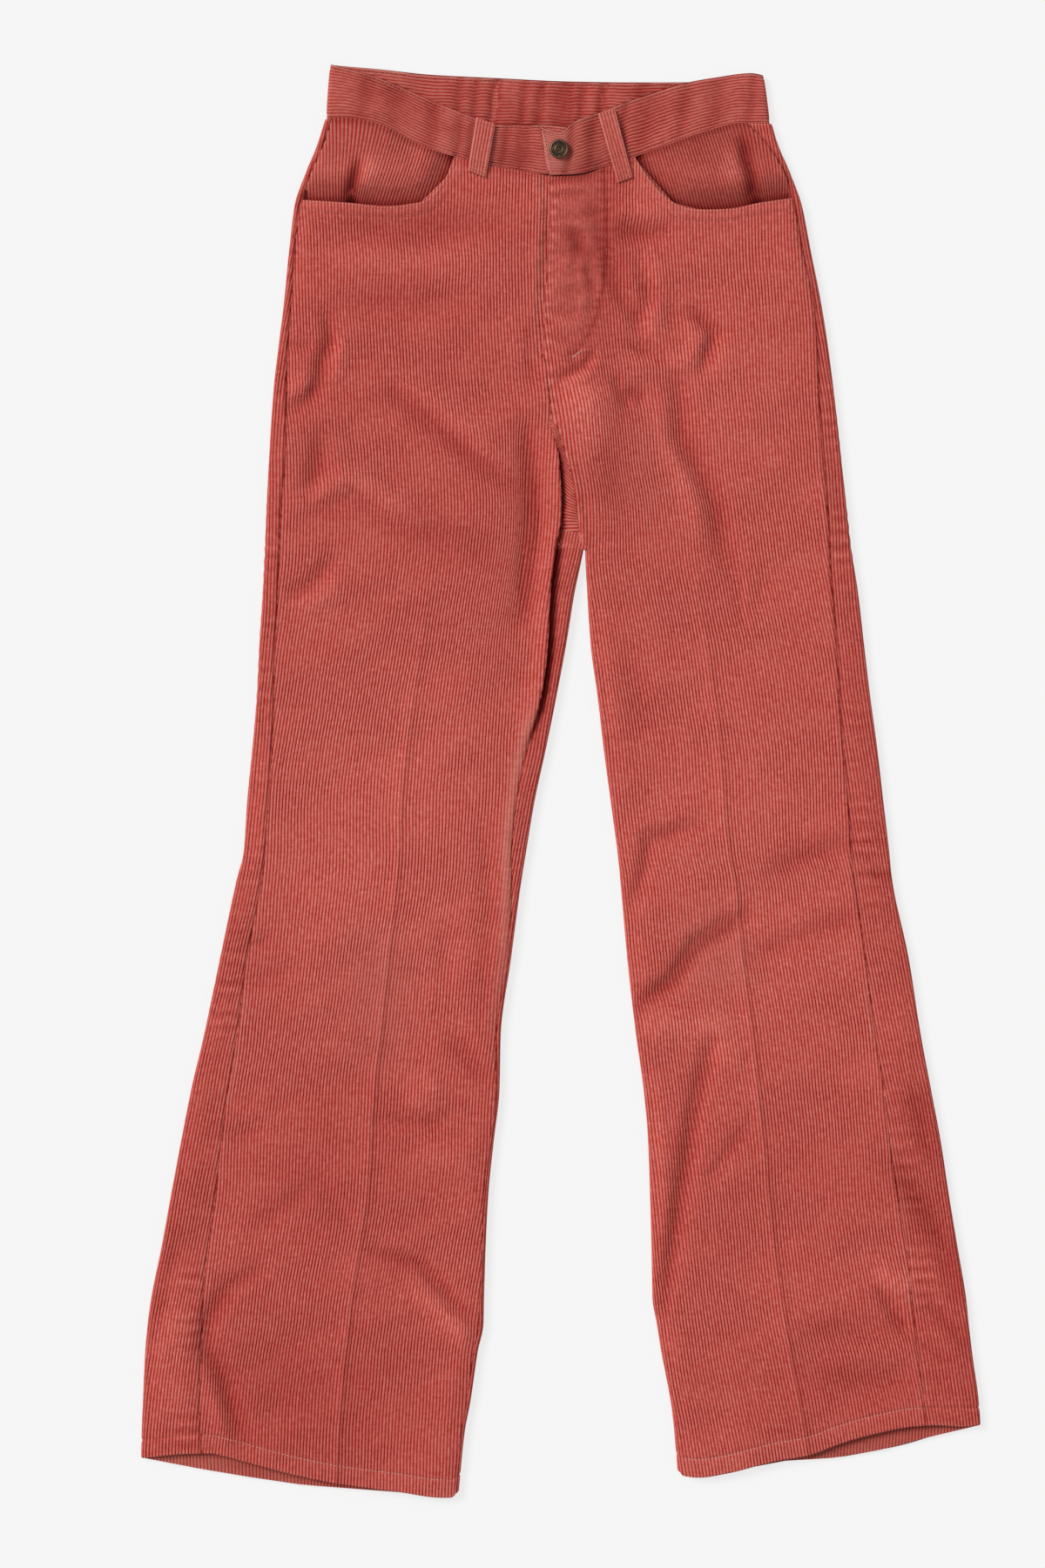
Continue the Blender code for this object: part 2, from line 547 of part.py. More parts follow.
def right_front():
    """Right front: outseam to fly edge, rise seam and inseam, with the underlap of the fly."""
    side = RIGHT
    gap = SEAM_GAP / 2

    def rise(down):
        return rise_line(down) - gap

    def outseam(down):
        return line(side, "outseam", down) + gap

    def crease(down):
        return line(side, "crease", down)

    columns = []
    for share in COLUMNS_TO_CREASE:
        columns.append(lambda down, share=share: rise(down) + share * (crease(down) - rise(down)))
    for share in COLUMNS_TO_OUTSEAM:
        columns.append(lambda down, share=share: crease(down) + share * (outseam(down) - crease(down)))
    underlap = [lambda down, share=share: rise(down) + share * UNDERLAP_WIDTH for share in (1.0, 0.5)]
    grid, walls = [], []
    for x_at in underlap + columns:
        downs = front_rows(side, x_at)
        grid.append(on_top(right_front_height, x_at(downs), downs))
        walls.append(hem_wall(downs))
    points, walls = np.stack(grid, axis=1), np.stack(walls, axis=1)
    present = np.ones((points.shape[0] - 1, points.shape[1] - 1), bool)
    rows_down = points[:, len(underlap), 1]
    present[rows_down[1:] > UNDERLAP_END + 1.0, :len(underlap)] = False
    cloth_solid("front_right", points, walls, present, (-PANEL_MIDDLE, 0.0, 0.0))


def left_front():
    """Left front: fly edge to outseam, and below the fork round the inner fold to the underside."""
    side = LEFT
    gap = SEAM_GAP / 2

    def outseam(down):
        return line(side, "outseam", down) - gap

    def crease(down):
        return line(side, "crease", down)

    def fold(down):
        shift = FOLD_RADIUS * ease(FORK_LAST_TORSO, FORK_FIRST_LEG, down)
        return line(side, "inner", down) + shift

    def beside_rise(share):
        def x_at(down):
            start = rise_line(down) + gap
            return start + share * (fold(down) - start)
        return x_at

    columns = []
    for share in COLUMNS_TO_CREASE:
        columns.append(lambda down, share=share: fold(down) + share * (crease(down) - fold(down)))
    for share in COLUMNS_TO_OUTSEAM:
        columns.append(lambda down, share=share: crease(down) + share * (outseam(down) - crease(down)))
    grid, walls = [], []
    wrap = len(COLUMNS_BESIDE_RISE)
    for index, x_at in enumerate([beside_rise(share) for share in COLUMNS_BESIDE_RISE] + columns):
        downs = front_rows(side, x_at)
        column = on_top(left_front_height, x_at(downs), downs)
        if index < wrap:
            at_fold = front_rows(side, fold)
            leg = downs > FORK_FIRST_LEG - 0.1
            fold_edge = line(side, "inner", at_fold)
            if index == 0:
                under = on_table(fold_edge + FOLD_RADIUS + WRAP_UNDER, at_fold)
            else:
                angle = math.pi * (wrap - index) / COLUMNS_OF_FOLD
                under = round_fold(side, -1, fold_edge, at_fold, angle)
            column[leg] = under[leg]
        grid.append(column)
        walls.append(hem_wall(downs))
    points, walls = np.stack(grid, axis=1), np.stack(walls, axis=1)
    present = np.ones((points.shape[0] - 1, points.shape[1] - 1), bool)
    rows_down = points[:, wrap, 1]
    in_fork = (rows_down[1:] > FORK_LAST_TORSO + 0.1) & (rows_down[1:] < FORK_FIRST_WRAP + 0.1)
    present[in_fork, :wrap] = False
    cloth_solid("front_left", points, walls, present, (PANEL_MIDDLE, 0.0, 0.0))


def band_low(side, x, angle):
    """Lower edge of the waistband; angle 0 is its front, pi its back, between them its fold."""
    front = edge(BAND_SEAM[side], x)
    back = edge(BACK_BAND_TOP, x) + BAND_HEIGHT
    return front + (back - front) * max(2.0 * angle / math.pi - 1.0, 0.0)


def back_underside_end(side, down):
    """Where the underside of a back panel ends: the centre back seam, or below the fork its fold."""
    centre = np.interp(down, [point.down for point in CENTRE_BACK], [point.x for point in CENTRE_BACK])
    centre = centre + side * SEAM_GAP / 2
    reach = FOLD_RADIUS + (WRAP_UNDER + SEAM_GAP if side == LEFT else 0.0)
    leg = line(side, "inner", down) + side * reach
    return np.where(down < FORK_FIRST_LEG - 0.1, centre, leg)


def back_panel(side):
    """Back: from the outseam round the outer fold, across the underside, and on the right leg
    round the inner fold to the inseam."""
    height = right_back_height if side == RIGHT else left_back_height
    gap = SEAM_GAP / 2

    def outseam(down):
        return line(side, "outseam", down) + side * gap

    def outer_top(down):
        return line(side, "outer", down) - side * FOLD_RADIUS

    def inner_top(down):
        return line(side, "inner", down) + side * FOLD_RADIUS

    def inseam(down):
        return rise_line(down) + gap

    grid, walls = [], []

    def rows(x_at, angle):
        upper = meet(x_at, lambda x: band_low(side, x, angle) + BAND_GAP, FIRST_FULL_ROW)
        hem = FRONT_HEM[side] if angle < math.pi / 2 else BACK_HEM[side]
        lower = meet(x_at, lambda x: edge(hem, x), OVERALL_LENGTH)
        return section_rows(side, side_seam_rows(side, upper), lower)

    def add_top(x_at):
        downs = rows(x_at, 0.0)
        grid.append(on_top(height, x_at(downs), downs))
        walls.append(hem_wall(downs))

    def add_fold(name, direction, angle):
        downs = rows(lambda down: line(side, name, down), angle)
        grid.append(round_fold(side, direction, line(side, name, downs), downs, angle))
        walls.append(hem_wall(downs))

    def add_under(x_at):
        downs = rows(x_at, math.pi)
        grid.append(on_table(x_at(downs), downs))
        walls.append(hem_wall(downs))

    for share in COLUMNS_OF_STRIP:
        add_top(lambda down: outseam(down) + share * (outer_top(down) - outseam(down)))
    for step in range(1, COLUMNS_OF_FOLD):
        add_fold("outer", side, math.pi * step / COLUMNS_OF_FOLD)
    for share in COLUMNS_UNDERSIDE:
        add_under(lambda down: outer_top(down)
                  + share * (back_underside_end(side, down) - outer_top(down)))
    torso_columns = len(grid)
    if side == RIGHT:
        for step in range(1, COLUMNS_OF_FOLD):
            add_fold("inner", -side, math.pi * (1.0 - step / COLUMNS_OF_FOLD))
        for share in COLUMNS_OF_STRIP:
            add_top(lambda down: inner_top(down) + share * (inseam(down) - inner_top(down)))
    points, walls = np.stack(grid, axis=1), np.stack(walls, axis=1)
    present = np.ones((points.shape[0] - 1, points.shape[1] - 1), bool)
    rows_down = points[:, torso_columns - 1, 1]
    present[rows_down[:-1] < FORK_FIRST_LEG - 0.1, torso_columns - 1:] = False
    cloth_solid("back_" + SIDE_NAME[side], points, walls, present, (side * PANEL_MIDDLE, 0.0, 0.0))


def signed_distance_to_pocket(side, x, down):
    """Distance from the pocket edge; above 0 in the open mouth, 0 and less under the front."""
    pocket = POCKET_EDGE[side]
    nearest = np.min([distance_to_segment(x, down, *first, *second)
                      for first, second in zip(pocket[:-1], pocket[1:])], axis=0)
    in_mouth = ((x - POCKET_INNER_END[side]) * side > 0.0) & (down < edge(pocket, x))
    return np.where(in_mouth, nearest, -nearest)


FACING_REACH = 12.0           # how far the facing goes on under the pocket edge
FACING_MARGIN = 2.5           # it is already down at its lowest this far before the edge
FACING_INNER_X = {RIGHT: -66.0, LEFT: 43.0}
FACING_COLUMNS = (0.0, 0.125, 0.187, 0.26, 0.365, 0.5, 0.66, 0.82)
FACING_ROWS = (0.0, 0.3, 0.55, 0.8, 1.0)


def pocket_facing(side):
    """The piece of corduroy behind the curved pocket edge, up to the side seam."""

    def facing_height(x, down):
        mouth = ease(FACING_MARGIN - 0.5, 15.0, signed_distance_to_pocket(side, x, down))
        return FACING_TOP_UNDER + (top_height(side, x, down) - FACING_TOP_UNDER) * mouth

    def seam(down):
        return line(side, "outseam", down) - side * SEAM_GAP / 2

    def band_edge(x):
        return edge(BAND_SEAM[side], x) + BAND_GAP

    def pocket_edge(x):
        nearest_open = side * np.maximum(x * side, POCKET_INNER_END[side] * side + 1.5)
        return edge(POCKET_EDGE[side], nearest_open) - FACING_MARGIN

    grid = []
    for share in FACING_COLUMNS:
        def x_at(down):
            return FACING_INNER_X[side] + share * (seam(down) - FACING_INNER_X[side])
        upper = meet(x_at, band_edge, POCKET_END[side])
        mouth = max(meet(x_at, pocket_edge, POCKET_END[side]), upper + 5.0)
        downs = [upper + part * (mouth - upper) for part in FACING_ROWS]
        downs = np.array(downs + [mouth + FACING_MARGIN + FACING_REACH])
        grid.append(on_top(facing_height, x_at(downs), downs))
    at_seam = side_seam_rows(side, meet(seam, band_edge, POCKET_END[side]))
    at_seam = np.array(at_seam[:5] + at_seam[-1:])
    grid.append(on_top(facing_height, seam(at_seam), at_seam))
    points = np.stack(grid, axis=1)
    present = np.ones((points.shape[0] - 1, points.shape[1] - 1), bool)
    cloth_solid("pocket_facing_" + SIDE_NAME[side], points, FACING_WALL, present,
                (side * 120.0, 430.0, 0.0))


class BandStation(NamedTuple):
    """One upright line of the waistband: x at its upper and lower edge, how far down they lie,
    the height of the outer face, and the outward direction."""

    top_x: float
    low_x: float
    top_down: float
    low_down: float
    z: float
    nx: float
    nz: float


BAND_LEFT_END = (-165.8, -168.6)       # x of the right-hand side's fold at its top and bottom
BAND_RIGHT_END = (146.0, 150.4)        # the same at the left side of the wearer
UNDERLAP_BAND_END = 11.0
OVERLAP_BAND_END = (-15.6, -9.0)
OVERLAP_STEP = (13.0, 25.0)            # where the overlap comes down off the underlap
BAND_FRONT_STEPS = 20
BAND_BACK_STEPS = 14
BAND_ROWS = (0.0, 0.33, 0.67, 1.0)


def band_stations():
    """The waistband from the underlap end round the back to the overlap end."""
    stations = []
    top_z = 2.0 * FOLD_RADIUS
    for step in range(BAND_FRONT_STEPS + 1):
        share = step / BAND_FRONT_STEPS
        top_x = UNDERLAP_BAND_END + share * (BAND_LEFT_END[0] + FOLD_RADIUS - UNDERLAP_BAND_END)
        low_x = UNDERLAP_BAND_END + share * (BAND_LEFT_END[1] + FOLD_RADIUS - UNDERLAP_BAND_END)
        stations.append(BandStation(top_x, low_x, float(edge(RIGHT_BAND_TOP, top_x)),
                                    float(edge(RIGHT_BAND_SEAM, low_x)), top_z, 0.0, 1.0))
    for step in range(1, COLUMNS_OF_FOLD):
        stations.append(band_fold(RIGHT, BAND_LEFT_END, math.pi * step / COLUMNS_OF_FOLD))
    for step in range(BAND_BACK_STEPS + 1):
        share = step / BAND_BACK_STEPS
        ends = [(left + FOLD_RADIUS, right - FOLD_RADIUS)
                for left, right in zip(BAND_LEFT_END, BAND_RIGHT_END)]
        top_x, low_x = [start + share * (end - start) for start, end in ends]
        top_down = float(edge(BACK_BAND_TOP, top_x))
        stations.append(BandStation(top_x, low_x, top_down,
                                    float(edge(BACK_BAND_TOP, low_x)) + BAND_HEIGHT, 0.0, 0.0, -1.0))
    for step in range(1, COLUMNS_OF_FOLD):
        angle = math.pi * (1.0 - step / COLUMNS_OF_FOLD)
        stations.append(band_fold(LEFT, BAND_RIGHT_END, angle))
    for step in range(BAND_FRONT_STEPS + 1):
        share = step / BAND_FRONT_STEPS
        top_x = BAND_RIGHT_END[0] - FOLD_RADIUS
        top_x = top_x + share * (OVERLAP_BAND_END[0] - top_x)
        low_x = BAND_RIGHT_END[1] - FOLD_RADIUS
        low_x = low_x + share * (OVERLAP_BAND_END[1] - low_x)
        raised = (BAND_WALL + SEAM_GAP) * float(ease(OVERLAP_STEP[1], OVERLAP_STEP[0], top_x))
        stations.append(BandStation(top_x, low_x, float(edge(LEFT_BAND_TOP, top_x)),
                                    float(edge(LEFT_BAND_SEAM, low_x)), top_z + raised, 0.0, 1.0))
    return stations


def band_fold(side, ends, angle):
    """A station of the waistband round its folded end; angle 0 is on top."""
    nx, nz = side * math.sin(angle), math.cos(angle)
    top_x, low_x = [end - side * FOLD_RADIUS + FOLD_RADIUS * nx for end in ends]
    return BandStation(top_x, low_x, float(edge(BAND_TOP[side], top_x)),
                       float(band_low(side, low_x, angle)), FOLD_RADIUS + FOLD_RADIUS * nz, nx, nz)


def waistband():
    """One strip, lapped at the centre front: the left end lies over the right."""
    stations = band_stations()
    grid = []
    for station in stations:
        column = []
        for share in BAND_ROWS:
            x = station.top_x + share * (station.low_x - station.top_x)
            down = station.top_down + share * (station.low_down - station.top_down)
            column.append((x, down, station.z, station.nx, station.nz))
        grid.append(column)
    points = np.array(grid).transpose(1, 0, 2)
    present = np.ones((points.shape[0] - 1, points.shape[1] - 1), bool)
    cloth_solid("waistband", points, BAND_WALL, present, (0.0, 475.0, 0.0))


class LoopCorners(NamedTuple):
    """Corners of a belt loop as (x, down)."""

    top_inner: EdgePoint
    top_outer: EdgePoint
    low_inner: EdgePoint
    low_outer: EdgePoint


BELT_LOOPS = {
    RIGHT: LoopCorners(EdgePoint(-46.9, 43.4), EdgePoint(-60.6, 38.0),
                       EdgePoint(-53.8, 81.6), EdgePoint(-66.9, 76.4)),
    LEFT: LoopCorners(EdgePoint(26.4, 35.6), EdgePoint(38.6, 32.4),
                      EdgePoint(40.2, 85.6), EdgePoint(51.4, 81.4)),
}
LOOP_SEAT = 7.2               # underside of a loop, just clear of the front panel
LOOP_ARCH = 0.6
LOOP_STEPS = 6


def belt_loop(side):
    """A flat strip, sewn down at both ends and slightly arched between."""
    corners = BELT_LOOPS[side]
    grid = []
    for across in (0.0, 0.5, 1.0):
        column = []
        for step in range(LOOP_STEPS + 1):
            share = step / LOOP_STEPS
            ends = []
            for axis in (0, 1):
                top = corners.top_inner[axis] + across * (corners.top_outer[axis] - corners.top_inner[axis])
                low = corners.low_inner[axis] + across * (corners.low_outer[axis] - corners.low_inner[axis])
                ends.append(top + share * (low - top))
            z = LOOP_SEAT + LOOP_WALL + LOOP_ARCH * math.sin(math.pi * share)
            column.append((ends[0], ends[1], z, 0.0, 1.0))
        grid.append(column)
    points = np.array(grid).transpose(1, 0, 2)
    present = np.ones((points.shape[0] - 1, points.shape[1] - 1), bool)
    cloth_solid("belt_loop_" + SIDE_NAME[side], points, LOOP_WALL, present,
                (side * 50.0, 455.0, LOOP_SEAT))


class Turn(NamedTuple):
    """A point of a turned outline."""

    radius: float
    height: float


BUTTON_OUTLINE = (
    Turn(6.1, 0.0), Turn(6.7, 0.5), Turn(6.9, 1.3), Turn(6.7, 2.1), Turn(6.1, 2.6),
    Turn(5.5, 2.5), Turn(5.1, 2.1), Turn(3.5, 2.0), Turn(3.1, 2.4), Turn(2.6, 2.4), Turn(2.2, 2.0),
)


def button():
    """The tack button: a shallow disc with a raised rim and a ring."""
    seat = 2.0 * FOLD_RADIUS + BAND_WALL + SEAM_GAP + BUTTON_SEAT
    origin = (BUTTON_X, OVERALL_LENGTH / 2 - BUTTON_DOWN, seat)
    mesh = bmesh.new()
    rings = []
    for turn in BUTTON_OUTLINE:
        ring = []
        for side in range(BUTTON_SIDES):
            angle = 2.0 * math.pi * side / BUTTON_SIDES
            ring.append(mesh.verts.new((turn.radius * math.cos(angle) * MM,
                                        turn.radius * math.sin(angle) * MM, turn.height * MM)))
        rings.append(ring)
    for lower, upper in zip(rings[:-1], rings[1:]):
        for side in range(BUTTON_SIDES):
            after = (side + 1) % BUTTON_SIDES
            mesh.faces.new((lower[side], lower[after], upper[after], upper[side]))
    mesh.faces.new(list(reversed(rings[0])))
    mesh.faces.new(rings[-1])
    bmesh.ops.recalc_face_normals(mesh, faces=mesh.faces)
    finish_mesh("button", mesh, origin, BRASS)


def clear_scene():
    """Remove what is in the scene."""
    for thing in list(bpy.data.objects):
        bpy.data.objects.remove(thing, do_unlink=True)


def main():
    """Build the trousers."""
    clear_scene()
    whole = bpy.data.objects.new("trousers", None)
    bpy.context.scene.collection.objects.link(whole)
    right_front()
    left_front()
    waistband()
    for side in (RIGHT, LEFT):
        back_panel(side)
        pocket_facing(side)
        belt_loop(side)
    button()


main()
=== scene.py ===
"""Flared corduroy trousers laid flat with the front up: the dressed model and its studio.

Sizes are in millimetres until a mesh is made. "down" is the distance below the highest point of the
waistband, x is measured from the middle, and right and left are the wearer's. Each panel is woven from
its own wales: the columns of a mesh run along the ribs, and its rows lie across them.
"""

import logging
import math
from dataclasses import dataclass
from enum import Enum
from functools import partial
from typing import Callable, NamedTuple

import bpy
import numpy as np
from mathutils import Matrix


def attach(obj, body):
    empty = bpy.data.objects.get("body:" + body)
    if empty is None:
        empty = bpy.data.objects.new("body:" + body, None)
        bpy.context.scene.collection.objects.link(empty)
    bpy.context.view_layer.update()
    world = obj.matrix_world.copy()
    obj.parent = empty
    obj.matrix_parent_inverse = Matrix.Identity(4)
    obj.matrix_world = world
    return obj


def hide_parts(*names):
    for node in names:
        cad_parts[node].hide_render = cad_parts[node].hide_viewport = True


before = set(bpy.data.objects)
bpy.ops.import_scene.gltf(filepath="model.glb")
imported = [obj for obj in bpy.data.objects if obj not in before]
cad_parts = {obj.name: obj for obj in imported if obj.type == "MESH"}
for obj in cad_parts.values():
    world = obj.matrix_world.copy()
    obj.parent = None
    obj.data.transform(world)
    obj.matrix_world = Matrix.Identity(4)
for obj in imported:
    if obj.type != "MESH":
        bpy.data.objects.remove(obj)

Array = np.ndarray
Line = Callable[[Array], Array]

LOG = logging.getLogger("trousers")
MM = 0.001
BODY = "root"

LENGTH = 1027
WALL = 2                      # corduroy, pile included
BAND_WALL = 2.6
FACING_WALL = 1.6
LOOP_WALL = 1.8
SEAM_GAP = 0.16
BAND_GAP = 0.12
FOLD_RADIUS = 3.2
HALF_TURN = math.pi * FOLD_RADIUS
BAND_HEIGHT = 38
HEM_HEIGHT = 13
HEM_EXTRA = 0.8
LEG_LOFT, TORSO_LOFT, HEM_LIFT = 5.4, 6.8, 1.6
LOWEST_TOP = 4.35
LOWEST_INNER = 2.2            # how low the inner face of a top layer may lie
CREASE_RISE, CREASE_WIDTH = 0.65, 5
CREASE_DEPTH = 1.3
CREASE_SPREAD = 1.25          # how much softer they lie than they are pressed
SHADE_AND_NAP_STEP = 0.075                   # how much paler the colour is painted for each millimetre of a crease's ridge, and darker for each of a trough: painted light and shade; it also sets how strongly the pile's own paler and darker patches show
SHADE_AND_NAP_RANGE = (0.12, 1.35)
FOLD_SPREAD, FOLD_CLEAR = 24, 6
UNDERLAP_WIDTH, UNDERLAP_TOP, UNDERLAP_END = 26, 4.35, 206
WRAP_UNDER = 6
FACING_TOP_UNDER = 3.95
FACING_REACH, FACING_MARGIN = 12, 2.5
GROOVE_START, GROOVE_END = (258, 292), (500, 450)
FIRST_FULL_ROW = 134
FORK_LAST_TORSO, FORK_FIRST_LEG, FORK_FIRST_WRAP = 344.5, 345.5, 347
EDGE_GUESSES = (60, 1000)     # about how far down the upper and the lower edge of a panel lie
SOLVE_ROUNDS = 30             # rounds in which their crossings with a line are found
SLOPE_STEP = 0.5              # for the slope of a height

WALE = 2.31                   # one rib of 11-wale corduroy
WALE_DEPTH = 0.62
WALE_GROOVE = 0.17            # half width of the groove, in ribs
WALE_STOPS = (0, 0.3, 0.7)    # mesh columns in each wale: its groove and its two shoulders

Points = tuple[tuple[float, float], ...]
Field = Callable[[Array, Array], Array]        # a value at (x, down)
Chain = tuple[list[int], list[float]]          # vertices, and where each lies along the chain


class Side(Enum):
    """Side of the wearer; the value is the sign of x that points outwards."""

    RIGHT = -1
    LEFT = 1

    @property
    def sign(self) -> int:
        """1 where x grows outwards, -1 where it falls."""
        return self.value


class Crease(NamedTuple):
    """A soft ridge along a chain of (x, down) points, or a trough where height is below 0."""

    width: float
    height: float
    points: Points


def creases_of(*rows: tuple[float, ...]) -> tuple[Crease, ...]:
    """Creases from rows of width, height, and then x and down of each point."""
    return tuple(Crease(width, height, tuple(zip(at[::2], at[1::2]))) for width, height, *at in rows)


def pair(right: object, left: object) -> dict[Side, object]:
    """What belongs to each side."""
    return {Side.RIGHT: right, Side.LEFT: left}


# Where the lines of a leg cross each section: down, then x of the outer fold, the outseam, the pressed
# crease and the inner fold.
RIGHT_LEG = (
    (38, -168.6, -164.4, -98, 0), (58, -175, -170.8, -99, 0), (75, -182, -177.8, -100, 0),
    (100, -190.8, -186.6, -100, 0), (134, -195, -190.6, -99, 0), (172, -198.8, -194, -98, 0),
    (206, -203, -195.5, -96, 0), (228, -205.6, -196.3, -95, 0), (256, -207.8, -197.2, -93, 0),
    (284, -209.4, -198.1, -91, 0), (313, -210.9, -200, -90.6, 6), (329, -211.6, -200.9, -91, 12),
    (344.5, -212.2, -201.6, -92, 16.6), (345.5, -212.2, -201.7, -92.1, 16.6),
    (347, -212.3, -201.8, -92.2, 16.4), (378, -213.8, -203.4, -95.9, 10), (416, -216.3, -204.7, -101, 3.8),
    (453, -218.1, -205.6, -106, -3.1), (490, -221.3, -207.5, -111.2, -10.6), (528, -225, -209, -115, -18.8),
    (565, -227.6, -211.9, -116.6, -25), (584, -232.5, -214.7, -118.1, -28.1),
    (640, -244.4, -224.4, -124.4, -35.6), (697, -256.3, -232.5, -130, -43.1),
    (734, -265, -238.1, -134.4, -43.9), (772, -272.5, -243, -137, -48.1),
    (809, -279.4, -247.8, -139.4, -51.9), (847, -286.3, -252.5, -145, -53.8),
    (884, -293.8, -256.3, -150.6, -55), (903, -296.4, -257, -152.6, -55.4),
    (922, -298.1, -258.1, -155, -59.4), (959, -299.8, -258.3, -158.2, -64.9),
    (978, -300.6, -258, -159.6, -68.6), (1027, -301.4, -253.2, -162.6, -73.6),
)

LEFT_LEG = (
    (38, 150, 129, 71, -5), (58, 156, 148.6, 71.5, -5), (75, 163.4, 158.6, 72, -4),
    (100, 172.6, 166.9, 72.5, -1), (134, 179.4, 173.8, 73.5, -2), (172, 186.9, 181.9, 75, -4),
    (206, 192.2, 183.6, 76.5, -4.6), (228, 195, 184.7, 77.5, -2.6), (256, 198.3, 186.4, 80, 0),
    (284, 201.3, 188.1, 82.5, 5.6), (313, 204.5, 190.3, 87, 11.9), (329, 206.2, 191.4, 89.4, 15.2),
    (344.5, 208, 192.5, 91.5, 16.4), (345.5, 208.1, 192.6, 91.6, 17.4), (347, 208.3, 192.7, 91.8, 17.4),
    (378, 213.1, 195, 97.5, 18.8), (416, 217.5, 197.2, 104.4, 21.3), (453, 221.9, 200, 109.4, 26.3),
    (490, 226.9, 202.8, 113.6, 30.6), (528, 231.3, 205.3, 116.2, 35.6), (565, 235.6, 208.4, 119.8, 40.6),
    (584, 237.6, 210.6, 123.6, 42.5), (640, 249.4, 218.1, 129.6, 47.5), (697, 258.4, 226, 136.6, 54),
    (734, 265.4, 231, 140.4, 59.2), (772, 272.5, 235.9, 144.4, 62.5), (809, 278.2, 241.8, 147.8, 63.8),
    (847, 284.4, 247.4, 152.2, 64.9), (884, 290.6, 251.9, 157.4, 65.6), (903, 292.6, 253.8, 160.2, 68.8),
    (922, 294.8, 255.8, 163.4, 71.8), (959, 299.8, 260, 170.2, 78.8), (978, 301.1, 261.9, 173.4, 81.1),
    (1027, 301.5, 266.5, 180.2, 84.8),
)

# Lines that run down the garment, as (down, x).
RISE_LINE = (
    (38, -10), (58, -10.5), (75, -10.5), (100, -7.5), (134, -8.8), (172, -11.2), (206, -12.4), (228, -9.6),
    (256, -6.8), (284, -0.8), (313, 0), (329, -0.6), (344.5, -3.6), (345.5, -3.8), (347, -4), (378, -6.9),
    (416, -9.6), (453, -14.2), (490, -23.8), (528, -31.9), (565, -35.2), (584, -34.4), (640, -38.2),
    (697, -45.7), (734, -46.5), (772, -50.7), (809, -54.5), (847, -56.4), (884, -57.6), (903, -58),
    (922, -62), (959, -67.5), (978, -71.2), (1027, -76.2),
)

# Edges that run across it, as (x, down).
RIGHT_POCKET_EDGE = (
    (-187, 97), (-154, 99.4), (-123, 101.9), (-106, 100), (-97, 98.1), (-90.6, 93.1), (-85, 85),
    (-78.8, 74.4), (-77.5, 67.2),
)
LEFT_POCKET_EDGE = (
    (53.8, 67.2), (61.3, 79.4), (71.9, 92.5), (80, 98.8), (88.8, 103.1), (103.8, 104.4), (121.9, 103.8),
    (140, 100), (168, 95.4),
)
RIGHT_BAND_SEAM = (
    (-168.6, 38.6), (-154.4, 38.1), (-137.5, 40.6), (-123.1, 45.6), (-106.3, 55), (-88.1, 62.5),
    (-73.1, 66.9), (-51.3, 72.4), (-34.4, 75.2), (-20, 77.4), (-10.6, 78.6), (20, 78.8),
)
LEFT_BAND_SEAM = (
    (-11, 79.8), (8.1, 79.2), (36.9, 71.9), (51.3, 66.9), (77.5, 57.5), (103.8, 48.1), (131.3, 41.9),
    (152, 42.2),
)
RIGHT_BAND_TOP = (
    (-165.6, 0), (-150.6, 3.8), (-135, 8.1), (-113.8, 16.3), (-85, 28.8), (-60, 38.8), (-46.3, 43.1),
    (-15.6, 43.4), (12, 46),
)
LEFT_BAND_TOP = (
    (-16.9, 43.8), (-8, 47.6), (0, 49), (8.1, 42.2), (27.5, 34.4), (61.3, 21.9), (87.5, 13.8), (110, 9.6),
    (136.3, 6.4), (146, 8),
)
BACK_BAND_TOP = (
    (-165.6, 0), (-130, 3.1), (-94.4, 6.9), (-46.3, 9.4), (8.1, 11.9), (56.3, 12.5), (98.1, 12.3),
    (125, 10.4), (146, 8),
)
RIGHT_FRONT_HEM = (
    (-301.5, 998.8), (-269.4, 995.6), (-250.6, 995.2), (-238.1, 998), (-214.4, 1004.4), (-186.9, 1011.3),
    (-159.4, 1016.9), (-115, 1022.8), (-87.5, 1026.8), (-79, 1027), (-73.4, 1023.2),
)
RIGHT_BACK_HEM = (
    (-301.5, 998.8), (-287.5, 999.6), (-269.4, 1004.4), (-223.1, 1012.5), (-179.4, 1018.6),
    (-157.5, 1020.2), (-115, 1023.4), (-87.5, 1026.6), (-79, 1026.6), (-73.4, 1023.2),
)
LEFT_FRONT_HEM = (
    (83.6, 1008), (88.6, 1011.6), (99, 1012.5), (119.4, 1009.4), (153.8, 1000.6), (177.5, 996.4),
    (201.9, 987.6), (227.5, 980.6), (253.1, 975.8), (270, 975), (287.5, 976), (301.5, 975.2),
)
LEFT_BACK_HEM = (
    (83.6, 1008), (99, 1012), (119.4, 1009), (153.8, 1001.4), (177.5, 1000), (201.9, 998), (216.3, 995.2),
    (236.3, 991.6), (253.1, 987.4), (270, 981.9), (287.5, 977.6), (301.5, 975.2),
)

